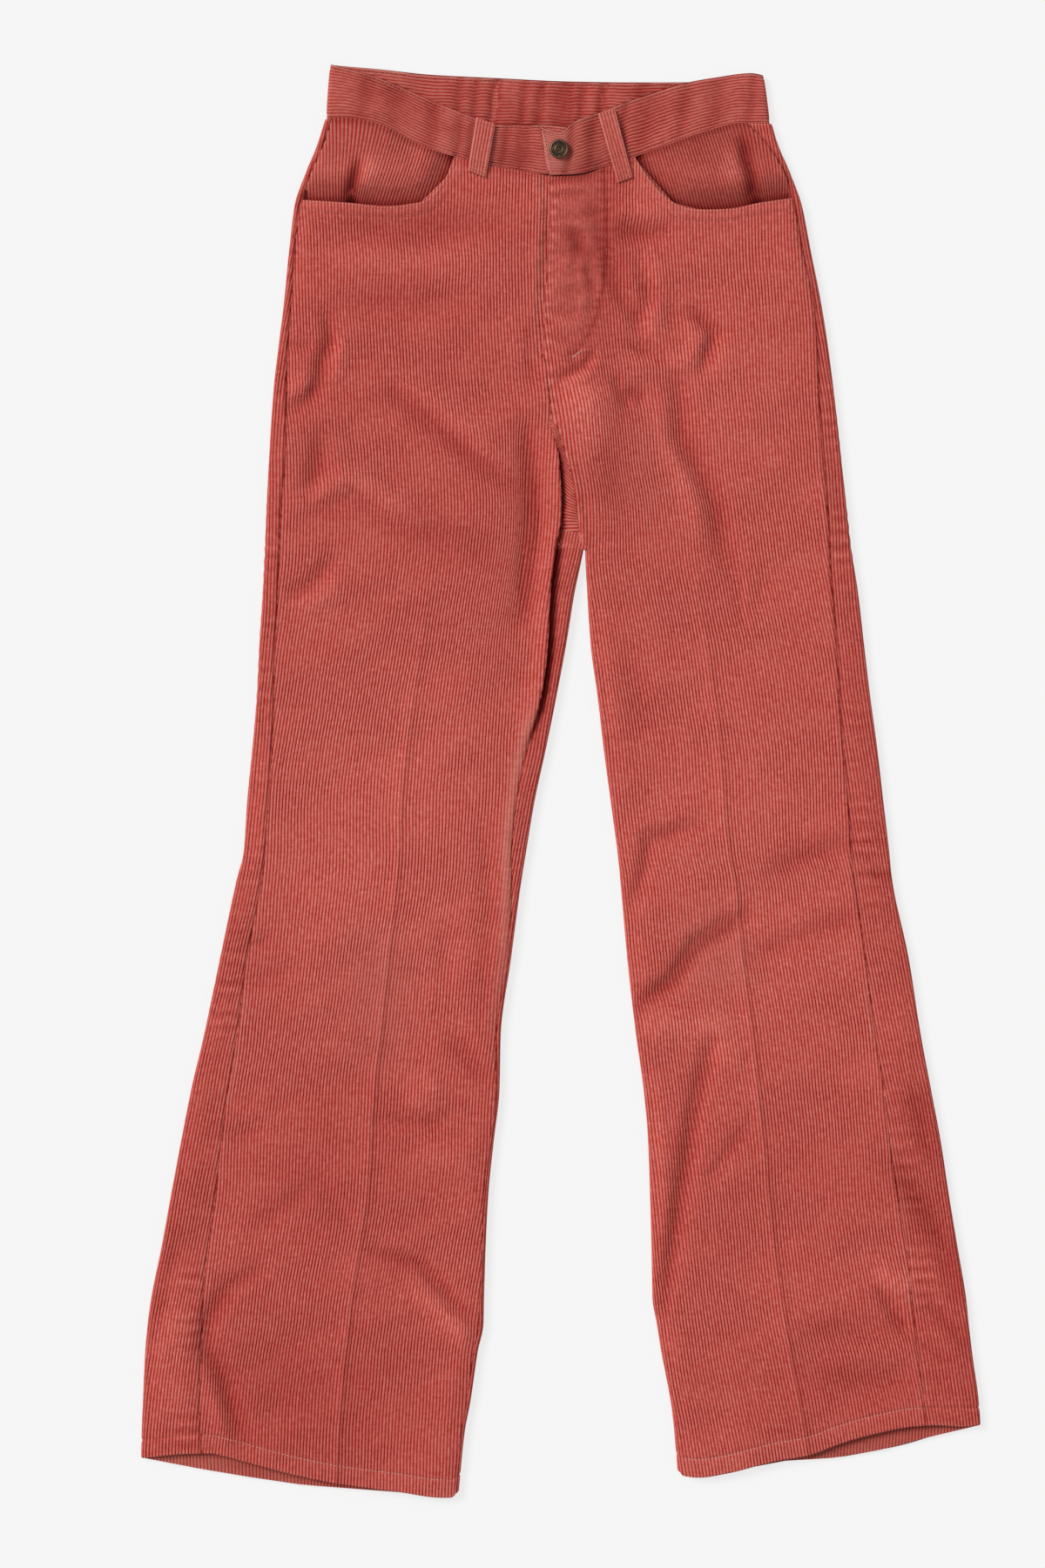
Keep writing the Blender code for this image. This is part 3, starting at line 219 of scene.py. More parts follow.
FACING_CREASES = pair(
    creases_of((3.4, -3.2, -145, 70, -150, 88, -152, 106), (6, 1.2, -134, 66, -138, 88)),
    creases_of((4, -2.8, 130, 54, 136, 80, 140, 102), (6, 1, 122, 60, 124, 84)))
CREASES = creases_of(
    # right hip
    (4.5, -2.3, -167, 180, -165, 199, -171, 213, -173, 229, -181, 241, -193, 248),
    (5, 1.4, -194, 232, -180, 231), (2.6, -1.2, -197, 201, -177, 202), (5, 1, -156, 196, -160, 226),
    (6, -1.8, -172, 266, -174, 288, -182, 311), (6.5, 1.3, -186, 312, -148, 297, -128, 311, -100, 331),
    (7, -1, -182, 323, -148, 308, -128, 323, -90, 342), (6.5, -2, -120, 236, -90, 259, -60, 284, -30, 307),
    (8, 1.2, -109, 232, -76, 257, -45, 286), (5.6, -3, -25, 262, -20, 303, -20, 328, -23, 359, -26, 400),
    (5, -1, -20, 184, -20, 228), (5.5, -1.6, -194, 381, -176, 371, -162, 353), (7, 0.8, -187, 392, -160, 371),
    (13, -1.2, -160, 118, -100, 120, -34, 112), (10, -1, -156, 172, -70, 168),
    (12, -1.1, -106, 326, -44, 356), (11, 0.9, -158, 141, -45, 144),
    # right knee and calf
    (4, -1, -208, 628, -230, 632), (7, -0.7, -184, 644, -224, 659), (7, -0.9, -55, 547, -51, 609, -55, 681),
    (5, -0.5, -85, 616, -82, 666), (6.5, -1.2, -80, 696, -51, 731), (8, 0.9, -109, 742, -85, 732),
    (4.5, -1.1, -132, 756, -90, 758, -78, 753), (10, 0.8, -102, 779, -65, 784),
    (4, -0.8, -255, 767, -215, 766), (3.5, -0.5, -252, 743, -215, 742),
    (6, -0.9, -222, 836, -196, 816, -176, 801, -154, 826),
    # above the right hem
    (6, -2, -218, 863, -239, 877, -252, 897, -256, 918, -244, 940, -236, 962, -228, 990),
    (11, 1, -274, 872, -272, 978), (5.5, 1.2, -253, 934, -247, 958, -241, 984),
    (6, -1.1, -276, 839, -291, 909), (4.6, -1.8, -134, 851, -101, 859, -81, 882, -59, 904),
    (6, 1.4, -106, 874, -86, 893, -60, 918), (16, -0.5, -215, 941, -165, 953),
    # left hip and fork
    (5.5, -1.5, 42, 122, 80, 121), (5.5, 1, 38, 106, 76, 106), (6, 1.1, 68, 141, 72, 172, 61, 198),
    (4, -1.2, 56, 141, 62, 169, 52, 193), (15, 1.3, 19, 232, 29, 278),
    (9, -1, 54, 236, 42, 256, 34, 282, 42, 330), (6, 0.9, 46, 216, 99, 214),
    (7.2, -2.3, 82, 226, 84, 266, 98, 291, 111, 317, 115, 341, 121, 362),
    (7, 1.2, 73, 232, 78, 272, 91, 301, 102, 331), (4.6, -2.2, 94, 176, 110, 193, 102, 219),
    (5.5, 1, 84, 181, 99, 196, 94, 214), (6, -1.3, 60, 158, 76, 173, 87, 192),
    (5, -1.2, 22, 104, 24, 111, 31, 136, 36, 158, 44, 170, 57, 189, 61, 204),
    (5, 0.8, 14, 102, 18, 111, 25, 138, 30, 160, 38, 174, 50, 192), (2.4, -1.2, -6, 85, 24, 83),
    (2.6, -1, -6, 94, 20, 92), (2.6, 0.8, -4, 89, 24, 88), (5, -1, 2, 120, 20, 126), (5, -1, 0, 163, 24, 158),
    (5, 0.8, 0, 142, 22, 146), (3.4, -1.2, 8, 118, 13, 132, 9, 147), (3.4, 1, 15, 150, 17, 168, 13, 184),
    (3, -1.1, 22, 134, 19, 148, 23, 163), (2.8, -0.9, 0, 108, 14, 111, 30, 107), (3, 0.8, 4, 115, 28, 113),
    (3.2, -0.9, -4, 136, 12, 133, 28, 137), (2.6, -0.8, 2, 151, 26, 148), (3.2, 0.8, -2, 157, 22, 154),
    (3, -1, -6, 176, 10, 179, 24, 174), (3, 0.8, -4, 186, 14, 188), (2.8, -0.9, -4, 196, 8, 199),
    (6, -1, 45, 112, 64, 128), (2.8, -2.4, 24, 207, 16, 217, 6, 222, -3, 226), (4.5, -1.2, 12, 203, 6, 215),
    (4, 1, 27, 213, 17, 223, 4, 229), (10, 1, 2, 243, 26, 240), (3.8, -1.5, 38, 224, 43, 237, 47, 247),
    (3.6, -1.3, 46, 235, 61, 240), (4.5, -1.4, 48, 202, 62, 207, 77, 215), (7, 0.6, 119, 198, 115, 222),
    (4, -0.6, 126, 368, 130, 404), (4, -0.5, 149, 366, 140, 392), (8, -0.7, 50, 416, 59, 484),
    # left knee and calf
    (5, -1.6, 49, 602, 60, 578, 63, 556, 102, 543), (7, -1.6, 146, 582, 179, 566, 212, 557),
    (4.5, -2, 222, 581, 239, 582), (3, 0.7, 224, 572, 238, 573),
    (5.4, -2.9, 134, 609, 98, 631, 80, 657, 54, 675), (10, 1.3, 62, 688, 118, 693),
    (7, -1.2, 136, 641, 179, 622, 215, 611), (5.2, -2.3, 108, 700, 95, 753, 83, 828, 73, 892),
    (8, 0.9, 111, 711, 130, 712), (6, 0.6, 70, 734, 71, 828), (4.5, -0.9, 136, 758, 115, 787, 105, 799),
    # above the left hem
    (7, -1.6, 251, 731, 268, 788), (7, -2, 241, 791, 261, 822, 275, 847, 288, 886),
    (3.8, -1.6, 228, 877, 249, 912), (4.2, -1.4, 265, 889, 294, 923), (7, 1.2, 228, 867, 255, 877),
    (4, -0.8, 252, 916, 280, 929), (8, -0.8, 179, 908, 255, 902), (7, -0.9, 185, 942, 251, 941),
    (6, 0.5, 191, 926, 248, 923))

LEGS = pair(RIGHT_LEG, LEFT_LEG)
BAND_SEAM = pair(RIGHT_BAND_SEAM, LEFT_BAND_SEAM)
POCKET_EDGE = pair(RIGHT_POCKET_EDGE, LEFT_POCKET_EDGE)
BAND_TOP = pair(RIGHT_BAND_TOP, LEFT_BAND_TOP)
FRONT_HEM = pair(RIGHT_FRONT_HEM, LEFT_FRONT_HEM)
BACK_HEM = pair(RIGHT_BACK_HEM, LEFT_BACK_HEM)
LAST_FULL_ROW = pair(978, 959)
POCKET_INNER_END = pair(-77.5, 53.8)
FACING_INNER_X = pair(-66, 43)
FORK_EDGE = ((256, -5), (259.4, -2.5), (278, 3.1), (295, 8.4), (315.6, 11.6), (329.4, 13.8), (335.6, 14.7),
             (347, 17))
CENTRE_BACK = ((38, -10), (FORK_LAST_TORSO, 7))

# The wale lines of the strips of the back that show beside the outseams.
STRIP_GRAIN = pair(
    ((38, -150), (134, -172), (256, -190), (400, -196), (528, -206), (640, -226), (884, -274), (960, -284),
     (1027, -290)),
    ((38, 150), (134, 168), (256, 186), (400, 198), (528, 214), (640, 234), (884, 276), (960, 286),
     (1027, 294)))


def smooth(knots: Array, values: Array, at: Array) -> Array:
    """Smooth curve through the knots that never swings past them.

    Args:
        knots: Where the values stand, rising.
        values: The values there.
        at: Where the curve is read.

    Returns:
        The curve's values.
    """
    knots, values = np.asarray(knots, float), np.asarray(values, float)
    at = np.clip(np.asarray(at, float), knots[0], knots[-1])
    step = np.diff(knots)
    slope = np.diff(values) / step
    product = slope[:-1] * slope[1:]
    total = slope[:-1] + slope[1:]
    mean = np.where(product > 0, 2 * product / np.where(product > 0, total, 1), 0)
    tangent = np.concatenate(([slope[0]], mean, [slope[-1]]))
    index = np.clip(np.searchsorted(knots, at, side="right") - 1, 0, len(step) - 1)
    width = step[index]
    t = (at - knots[index]) / width
    rise = values[index + 1] - values[index]
    start, end = tangent[index] * width, tangent[index + 1] * width
    return values[index] + t * (start + t * (3 * rise - 2 * start - end + t * (start + end - 2 * rise)))


def edge(points: Points, at: Array) -> Array:
    """Smooth curve through a table: down of an edge at x, or x of a line at down."""
    return smooth(*zip(*points), at)


def line(side: Side, name: str, down: Array) -> Array:
    """x of one of the named lines of a leg."""
    columns = dict(zip(("down", "outer", "outseam", "crease", "inner"), zip(*LEGS[side])))
    x = smooth(columns["down"], columns[name], down)
    return x + seam_wave(np.asarray(down, float), side.sign) if name == "outseam" else x


def fork_line(down: Array) -> Array:
    """x where the left leg starts beside the gathered cloth of the fork."""
    return edge(FORK_EDGE, down)


def seam_wave(down: Array, seed: float) -> Array:
    """How far a sewn seam leaves its line."""
    return 0.4 * np.sin(math.tau * down / 7.3 + seed) + 0.45 * np.sin(down / 17 + 2 * seed)


def rise_line(down: Array) -> Array:
    """x of the fly edge, the rise seam and the right leg's inseam."""
    down = np.asarray(down, float)
    return edge(RISE_LINE, down) + seam_wave(down, 0.7) + (
        0.85 * ease(255, 225, down) * np.sin(down / 2.9 + 2 * np.sin(down / 27)))


def ease(start: float, end: float, value: Array) -> Array:
    """0 before start, 1 after end, smooth between."""
    t = np.clip((np.asarray(value, float) - start) / (end - start), 0, 1)
    return t * t * (3 - 2 * t)


def bell(distance: Array, width: float) -> Array:
    """1 at distance 0, fading over the width."""
    return np.exp(-(np.asarray(distance, float) / width) ** 2)


def to_segment(x: Array, down: Array, ends: tuple[float, ...]) -> Array:
    """Distance from points to a straight segment, given as x, down, x, down."""
    x0, down0, x1, down1 = ends
    along = np.array((x1 - x0, down1 - down0))
    t = np.clip(((x - x0) * along[0] + (down - down0) * along[1]) / along.dot(along), 0, 1)
    return np.hypot(x - x0 - t * along[0], down - down0 - t * along[1])


def to_polyline(x: Array, down: Array, points: Points) -> Array:
    """Distance from points to a chain of (x, down) points."""
    return np.min([to_segment(x, down, (*first, *second))
                   for first, second in zip(points, points[1:])], axis=0)


def wander(x: Array, down: Array, seed: float) -> Array:
    """Slow, even-handed unevenness between about -1 and 1, as handwork has."""
    return 0.4 * (np.sin(x / 23 + down / 31 + 1.7 * seed) + np.sin(down / 13.7 - x / 37 + 2.9 * seed)
                  + 0.6 * np.sin(down / 7.1 + x / 11 + 4.3 * seed))


def pucker(down: Array, seed: float) -> Array:
    """The uneven gathering along a felled seam, -1 to 1, about 6.5 mm from one pucker to the next."""
    return np.sin(math.tau * down / 6.5 + 1.6 * np.sin(down / 19 + seed) + seed)


def creases_at(creases: tuple[Crease, ...], x: Array, down: Array) -> Array:
    """Height that a table of creases adds; each fades towards its ends."""
    total = np.zeros(np.shape(x))
    for crease in creases:
        width = CREASE_SPREAD * crease.width
        low, high = np.min(crease.points, axis=0), np.max(crease.points, axis=0)
        reach = 2.6 * width
        near = ((x > low[0] - reach) & (x < high[0] + reach)
                & (down > low[1] - reach) & (down < high[1] + reach))
        if near.any():
            (x0, down0), (x1, down1) = crease.points[0], crease.points[-1]
            chord = (x1 - x0) ** 2 + (down1 - down0) ** 2
            along = ((x[near] - x0) * (x1 - x0) + (down[near] - down0) * (down1 - down0)) / chord
            taper = ease(-0.25, 0.3, along) * ease(1.25, 0.7, along)
            apart = to_polyline(x[near], down[near], crease.points)
            total[near] += CREASE_DEPTH * crease.height * bell(apart, width) * taper
    return total


class ReliefMap:
    """The garment's creases, worked out once on a fine grid."""

    step = 1.25
    corner = (-320, -10)
    around = (23, 17)             # steps along and across in which the lowest is found

    def __init__(self) -> None:
        """Work the grid out, and the lowest height near each of its points."""
        x = np.arange(self.corner[0], -self.corner[0], self.step)
        down = np.arange(self.corner[1], LENGTH - self.corner[1], self.step)
        self.table = creases_at(CREASES, *np.meshgrid(x, down))
        self.lowest = self.table
        for axis, reach in enumerate(self.around):
            reaches = [(reach, reach) if axis == other else (0, 0) for other in (0, 1)]
            padded = np.pad(self.lowest, reaches, "edge")
            self.lowest = np.lib.stride_tricks.sliding_window_view(padded, 2 * reach + 1, axis).min(axis=-1)

    def at(self, x: Array, down: Array) -> Array:
        """Height of the creases."""
        return self.read(self.table, x, down)

    def read(self, table: Array, x: Array, down: Array) -> Array:
        """A table's value between the grid's points."""
        rows, columns = table.shape
        across = np.clip((np.asarray(x, float) - self.corner[0]) / self.step, 0, columns - 1.001)
        along = np.clip((np.asarray(down, float) - self.corner[1]) / self.step, 0, rows - 1.001)
        column, row = across.astype(int), along.astype(int)
        right, low = across - column, along - row
        upper = table[row, column] * (1 - right) + table[row, column + 1] * right
        lower = table[row + 1, column] * (1 - right) + table[row + 1, column + 1] * right
        return upper * (1 - low) + lower * low


RELIEF = ReliefMap()


def swell(x: Array, down: Array) -> Array:
    """The soft unevenness of cloth that lies loose."""
    return 1.2 + 0.3 * (np.sin(x / 17 + down / 41 + 1) + np.sin(down / 23 - x / 29 + 2)
                        + 0.4 * np.sin(down / 9 + x / 21))


def top_height(side: Side, x: Array, down: Array) -> Array:
    """Height of the outer face of the top layer."""
    x, down = np.broadcast_arrays(np.asarray(x, float), np.asarray(down, float))
    to_outer = np.abs(line(side, "outer", down) - side.sign * FOLD_RADIUS - x)
    to_inner = np.abs(line(side, "inner", down) + side.sign * FOLD_RADIUS - x)
    from_fold = np.where(down < FORK_FIRST_LEG, to_outer, np.minimum(to_outer, to_inner))
    loft = TORSO_LOFT + (LEG_LOFT - TORSO_LOFT) * ease(228, 400, down)
    loft = loft + HEM_LIFT * ease(60, 0, edge(FRONT_HEM[side], x) - down)
    height = loft + (2 * FOLD_RADIUS - loft) * bell(from_fold, FOLD_SPREAD)
    from_crease = x - line(side, "crease", down)
    loose = swell(x, down) * ease(4, 34, down - edge(BAND_SEAM[side], x))
    loose = loose + CREASE_RISE * bell(from_crease, CREASE_WIDTH) * ease(330, 400, down)
    height = height + (loose + RELIEF.at(x, down)) * (1 - bell(from_fold, FOLD_CLEAR))
    return np.maximum(height, LOWEST_TOP)


def groove_window(down: Array) -> Array:
    """1 along the groove that runs down from the rise seam, 0 above and below it."""
    return ease(*GROOVE_START, down) * ease(*GROOVE_END, down)


def right_front_height(x: Array, down: Array) -> Array:
    """The right front: it lies under the fly edge and rolls over the groove of the fork."""
    height = top_height(Side.RIGHT, x, down)
    from_rise = x - rise_line(down)
    rolled = height + 2.9 * bell(from_rise, 9) * groove_window(down)
    under = ease(-9, -1, from_rise) * ease(UNDERLAP_END + 22, UNDERLAP_END, down)
    return rolled + (UNDERLAP_TOP - rolled) * under


def left_front_height(x: Array, down: Array) -> Array:
    """The left front: it sinks into the groove beside the rise seam."""
    height = top_height(Side.LEFT, x, down)
    rise, fold = rise_line(down), line(Side.LEFT, "inner", down)
    depth = np.clip((fold - x) / np.maximum(fold - rise, 1), 0, 1)
    sunk = depth * ease(262, 300, down) * ease(FORK_FIRST_LEG, FORK_LAST_TORSO, down)
    rolled = 1.1 * bell(x - fork_line(down) - 1.6, 2.6) * ease(262, 285, down) * ease(362, 344, down)
    return np.maximum(height - 3.4 * sunk, LOWEST_TOP) + rolled


def right_back_height(x: Array, down: Array) -> Array:
    """The strips of the right back that show on top: one is sunk in the groove of the fork."""
    height = top_height(Side.RIGHT, x, down)
    from_rise = x - rise_line(down)
    from_fold = line(Side.RIGHT, "inner", down) - FOLD_RADIUS - x
    sunk = bell(from_rise, 7) * groove_window(down) * (1 - bell(from_fold, 5))
    return np.maximum(height - 4 * np.where(from_rise > 0, sunk, 0), LOWEST_TOP)


def rolled_edge(distance: Array, radius: float = 1.3) -> Array:
    """How far a folded edge drops, at a distance inwards from its very end."""
    t = 1 - np.clip(distance / radius, 0, 1)
    return -radius * (1 - np.sqrt(1 - 0.97 * t * t))


def groove_at(ribs: Array, width: float = WALE_GROOVE) -> Array:
    """1 in the middle of each groove, where the rib count is whole."""
    return bell(ribs - np.round(ribs), width)


def rubbed(x: Array, down: Array, seed: float = 5) -> Array:
    """How unevenly wear marks the cloth, about 0.4 to 1.1."""
    return 0.75 + 0.35 * wander(x, down, seed)


def sewn_line(distance: Array, depth: float, width: float = 1.1) -> Array:
    """The valley that a row of stitches pulls in the pile."""
    return -depth * bell(distance, width)


class Rows(NamedTuple):
    """How a panel's rows lie: down = fixed + upper_share * upper edge + lower_share * lower edge."""

    fixed: Array
    upper_share: Array
    lower_share: Array

    def down(self, upper: Array, lower: Array) -> Array:
        """How far down each row lies, one row of the result for each."""
        return (self.fixed[:, None] + self.upper_share[:, None] * upper
                + self.lower_share[:, None] * lower)


EDGE_OFFSETS = (0, 0.4, 0.9, 1.6, 2.6)
HEM_OFFSETS = (15.6, 14.4, 13.6, 13, 12.4, 11.4, 9, 6.5, 4.2, 2.6, 1.6, 0.9, 0.4, 0)


def panel_rows(spacing: float, jumps: tuple[float, ...], last: float) -> Rows:
    """Rows of a long panel, closer at its upper edge and round the hem's stitches.

    Args:
        spacing: Distance between rows in the length of the panel.
        jumps: How far down a row has to lie exactly.
        last: The last row that lies straight across.

    Returns:
        The rows.
    """
    def shares(length: float) -> Array:
        """Where the rows of a stretch end, from 0 to 1."""
        return np.linspace(0, 1, math.ceil(length / spacing) + 1)[1:]
    rows = [(offset, 1, 0) for offset in EDGE_OFFSETS]
    rows += [(EDGE_OFFSETS[-1] * (1 - share) + FIRST_FULL_ROW * share, 1 - share, 0)
             for share in shares(FIRST_FULL_ROW - EDGE_GUESSES[0])]
    stops = (FIRST_FULL_ROW, *jumps, last)
    for start, end in zip(stops, stops[1:]):
        rows += [(down, 0, 0) for down in np.linspace(start, end, len(shares(end - start)) + 1)[1:]]
    rows += [(last * (1 - share) - HEM_OFFSETS[0] * share, 0, share)
             for share in shares(LENGTH - HEM_OFFSETS[0] - last)[:-1]]
    rows += [(-offset, 0, 1) for offset in HEM_OFFSETS]
    return Rows(*(np.array(part, float) for part in zip(*rows)))


def short_rows(count: int) -> Rows:
    """Rows of a short piece, evenly between its upper and lower edge."""
    shares = np.linspace(0, 1, count + 1)
    return Rows(np.zeros(count + 1), 1 - shares, shares)


def zipped(first: Chain, second: Chain) -> list[tuple[int, ...]]:
    """Triangles between two chains of vertices.

    Args:
        first: One chain.
        second: The other chain.

    Returns:
        The triangles, wound first chain, second chain, forward.
    """
    (ids, at), (other_ids, other_at) = first, second
    faces = []
    a = b = 0
    while a < len(ids) - 1 or b < len(other_ids) - 1:
        if b == len(other_ids) - 1 or (a < len(ids) - 1 and at[a + 1] <= other_at[b + 1]):
            faces.append((ids[a], other_ids[b], ids[a + 1]))
            a += 1
        else:
            faces.append((ids[a], other_ids[b], other_ids[b + 1]))
            b += 1
    return faces


def scaled(chain: Chain) -> Chain:
    """The chain, with its places from 0 to 1."""
    ids, at = chain
    return ids, [(place - at[0]) / (at[-1] - at[0]) for place in at]


class Placed(NamedTuple):
    """Points of a cloth surface: x, height, and the outward direction across the garment."""

    x: Array
    z: Array
    nx: Array
    nz: Array


class Masks(NamedTuple):
    """What has happened to the cloth at each point, each from 0 to 1."""

    worn: Array               # pile rubbed off, paler
    faded: Array              # browner and duller
    crushed: Array            # pile pressed flat, ribs less deep


class Segment(NamedTuple):
    """A stretch of a panel, from a distance down, whose side edges are smooth; stops are lines from one
    side to the other."""

    first_down: float
    stops: tuple[Line, ...]


def on_top(height: Field, x: Array, down: Array) -> Placed:
    """Points on a top face with their outward directions."""
    slope = (height(x + SLOPE_STEP, down) - height(x - SLOPE_STEP, down)) / (2 * SLOPE_STEP)
    size = np.hypot(slope, 1)
    return Placed(x, height(x, down), -slope / size, 1 / size)


def shares_between(start: Line, end: Line, count: int) -> tuple[Line, ...]:
    """Lines evenly between two lines, both included."""
    def part(share: float) -> Line:
        """One of the lines."""
        return lambda down: start(down) + share * (end(down) - start(down))
    return tuple(part(share) for share in np.linspace(0, 1, count + 1))


def shifted(start: Line, by: float) -> Line:
    """The line that lies beside another."""
    return lambda down: start(down) + by


def new_object(name: str, data: bpy.types.ID) -> bpy.types.Object:
    """A new object, in the scene."""
    thing = bpy.data.objects.new(name, data)
    bpy.context.scene.collection.objects.link(thing)
    return thing


def shade_and_nap_at(points: Array, relief: Array | float) -> Array:
    """Painted light and shade at each point, darker in the troughs of creases and paler on their ridges, with
    the pile's own paler and darker patches. The flat underside gets a weaker, mirrored copy of the creases'
    painted shade and light and weaker patches, and none behind the fly and the waist."""
    x, down = points[:, 0], LENGTH / 2 - points[:, 1]
    upper = points[:, 2] > 1
    seat = np.maximum(ease(50, 110, np.abs(x)), ease(230, 330, down))
    # the creases' painted shade and light: darker in troughs, paler on ridges; on the flat underside a weaker
    # mirrored copy
    crease_shade = np.where(upper, relief + RELIEF.at(x, down), 0.6 * seat * RELIEF.at(-x, down + 15))
    nap_and_shade = 1 + SHADE_AND_NAP_STEP * (crease_shade + np.where(upper, 10, 2 * seat) * patches_at(SHADED, x, down))
    return np.clip(nap_and_shade, *SHADE_AND_NAP_RANGE)


def make_object(name: str, points: Array, faces: list, material: bpy.types.Material,
                grain: Array | None = None, masks: Masks | None = None,
                relief: Array | float = 0) -> bpy.types.Object:
    """Turn arrays into a placed object.

    Args:
        name: Name of the piece.
        points: Its vertices in millimetres, as (x, y, z).
        faces: Its faces.
        material: Its finish.
        grain: Wale count and centimetres along the wale at each vertex.
        masks: Wear at each vertex.
        relief: Height of a piece's own creases and marks, painted into the colour as shade in their troughs
            and light on their ridges.

    Returns:
        The object, riding on the body.
    """
    mesh = bpy.data.meshes.new(name)
    mesh.from_pydata((points * MM).tolist(), [], faces)
    if grain is not None:
        layer = mesh.uv_layers.new(name="grain")
        corner = np.empty(len(mesh.loops), dtype=np.int32)
        mesh.loops.foreach_get("vertex_index", corner)
        layer.data.foreach_set("uv", grain[corner].astype(np.float32).ravel())
    if masks is not None:
        for title, values in {**masks._asdict(), "nap_and_shade": shade_and_nap_at(points, relief)}.items():
            layer = mesh.attributes.new(title, "FLOAT", "POINT")
            layer.data.foreach_set("value", np.clip(values, 0, SHADE_AND_NAP_RANGE[1]).astype(np.float32))
    mesh.shade_smooth()
    mesh.set_sharp_from_angle(angle=math.radians(80))
    mesh.materials.append(material)
    thing = new_object(name, mesh)
    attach(thing, BODY)
    return thing


@dataclass
class Panel:
    """A cloth panel, woven column by column along its wales. Its surface is laid out in w, which is
    x on top of the garment and goes on round the folded edges to the underside."""

    node: str
    side: Side
    wall: float = WALL
    row_spacing: float = 2.7

    inner_rows_every = 10
    clear = 0.14              # least distance between a column and a side edge
    steps = 4                 # rounds in which u is found

    @property
    def sign(self) -> int:
        """The sign of x that points outwards."""
        return self.side.sign

    def leg_line(self, name: str, down: Array) -> Array:
        """x of a named line of this leg."""
        return line(self.side, name, down)

    def from_seam(self, x: Array, down: Array) -> Array:
        """Distance from the outseam."""
        return np.abs(self.leg_line("outseam", down) - x)

    def grain(self, down: Array) -> Array:
        """w of the wale that is counted as 0."""
        return self.leg_line("crease", down)

    def drift(self, u: Array, down: Array) -> Array:
        """How far the wales leave their straight way."""
        return 0.55 * wander(u, down, 1) + 1.1 * np.sin(down / 39 + u / 53 + self.sign)

    def w_of(self, u: Array, down: Array) -> Array:
        """w at a distance u across the wales."""
        return self.grain(down) + u + self.drift(u, down)

    def u_of(self, w: Array, down: Array) -> Array:
        """Distance across the wales at w."""
        u = w - self.grain(down)
        for _ in range(self.steps):
            u = w - self.grain(down) - self.drift(u, down)
        return u

    def rows(self) -> Rows:
        """The panel's rows."""
        return panel_rows(self.row_spacing, (FORK_LAST_TORSO, FORK_FIRST_LEG, FORK_FIRST_WRAP),
                          LAST_FULL_ROW[self.side])

    def upper_edge(self, w: Array, down: Array) -> Array:
        """How far down the upper edge lies at w."""
        raise NotImplementedError

    def lower_edge(self, w: Array, down: Array) -> Array:
        """How far down the lower edge lies at w."""
        return edge(FRONT_HEM[self.side], w)

    def segments(self) -> list[Segment]:
        """The stretches of the panel, from the top down."""
        raise NotImplementedError

    def place(self, w: Array, down: Array) -> Placed:
        """Where w lies."""
        raise NotImplementedError

    def detail(self, w: Array, x: Array, down: Array) -> Array:
        """What seams, stitches and edges add to the surface, outwards."""
        return np.zeros_like(x)

    def finished_edges(self, w: Array, down: Array) -> Array:
        """The outseam's puckers and valley, the hem's stitches, and the rolled upper and lower edge."""
        from_seam, u = self.from_seam(w, down), self.u_of(w, down)
        from_lower = self.lower(u) - down
        add = 0.34 * pucker(down, self.sign) * bell(from_seam - 2.8, 2.4) - 0.7 * bell(from_seam, 1.1)
        add += sewn_line(from_lower - HEM_HEIGHT, 0.6) + rolled_edge(from_lower)
        return add + rolled_edge(down - self.upper(u))

    def masks(self, w: Array, x: Array, down: Array) -> Masks:
        """Wear of the panel."""
        return Masks(*[np.zeros_like(x)] * 3)

    def relief(self, x: Array, down: Array) -> Array:
        """Height of the panel's own creases and marks, painted into the colour as shade and light."""
        return np.zeros_like(x)

    def hollow(self, x: Array, down: Array) -> Array:
        """How far the inner face, which has few points, lies lower so that no trough cuts through it."""
        return RELIEF.at(x, down) - RELIEF.read(RELIEF.lowest, x, down)

    def prepare(self) -> None:
        """Find how far down each wale of a table meets the upper and the lower edge."""
        self.u_table = np.arange(-420, 420, 1.5)
        self.edge_tables = []
        for edge_at, guess in zip((self.upper_edge, self.lower_edge), EDGE_GUESSES):
            down = np.full_like(self.u_table, guess)
            for _ in range(SOLVE_ROUNDS):
                down = 0.5 * down + 0.5 * edge_at(self.w_of(self.u_table, down), down)
            self.edge_tables.append(down)

    def upper(self, u: Array) -> Array:
        """Upper edge at u."""
        return np.interp(u, self.u_table, self.edge_tables[0])

    def lower(self, u: Array) -> Array:
        """Lower edge at u."""
        return np.interp(u, self.u_table, self.edge_tables[1])

    def follow(self, stop: Line, rows: Rows) -> tuple[Array, Array]:
        """Where a line that runs down the panel crosses each row.

        Args:
            stop: The line, as w by down.
            rows: The rows.

        Returns:
            u and down at the crossings.
        """
        down = rows.fixed + rows.upper_share * EDGE_GUESSES[0] + rows.lower_share * EDGE_GUESSES[1]
        u = self.u_of(stop(down), down)
        for _ in range(SOLVE_ROUNDS):
            wanted = rows.fixed + rows.upper_share * self.upper(u) + rows.lower_share * self.lower(u)
            down = 0.5 * down + 0.5 * wanted
            u = self.u_of(stop(down), down)
        return u, down

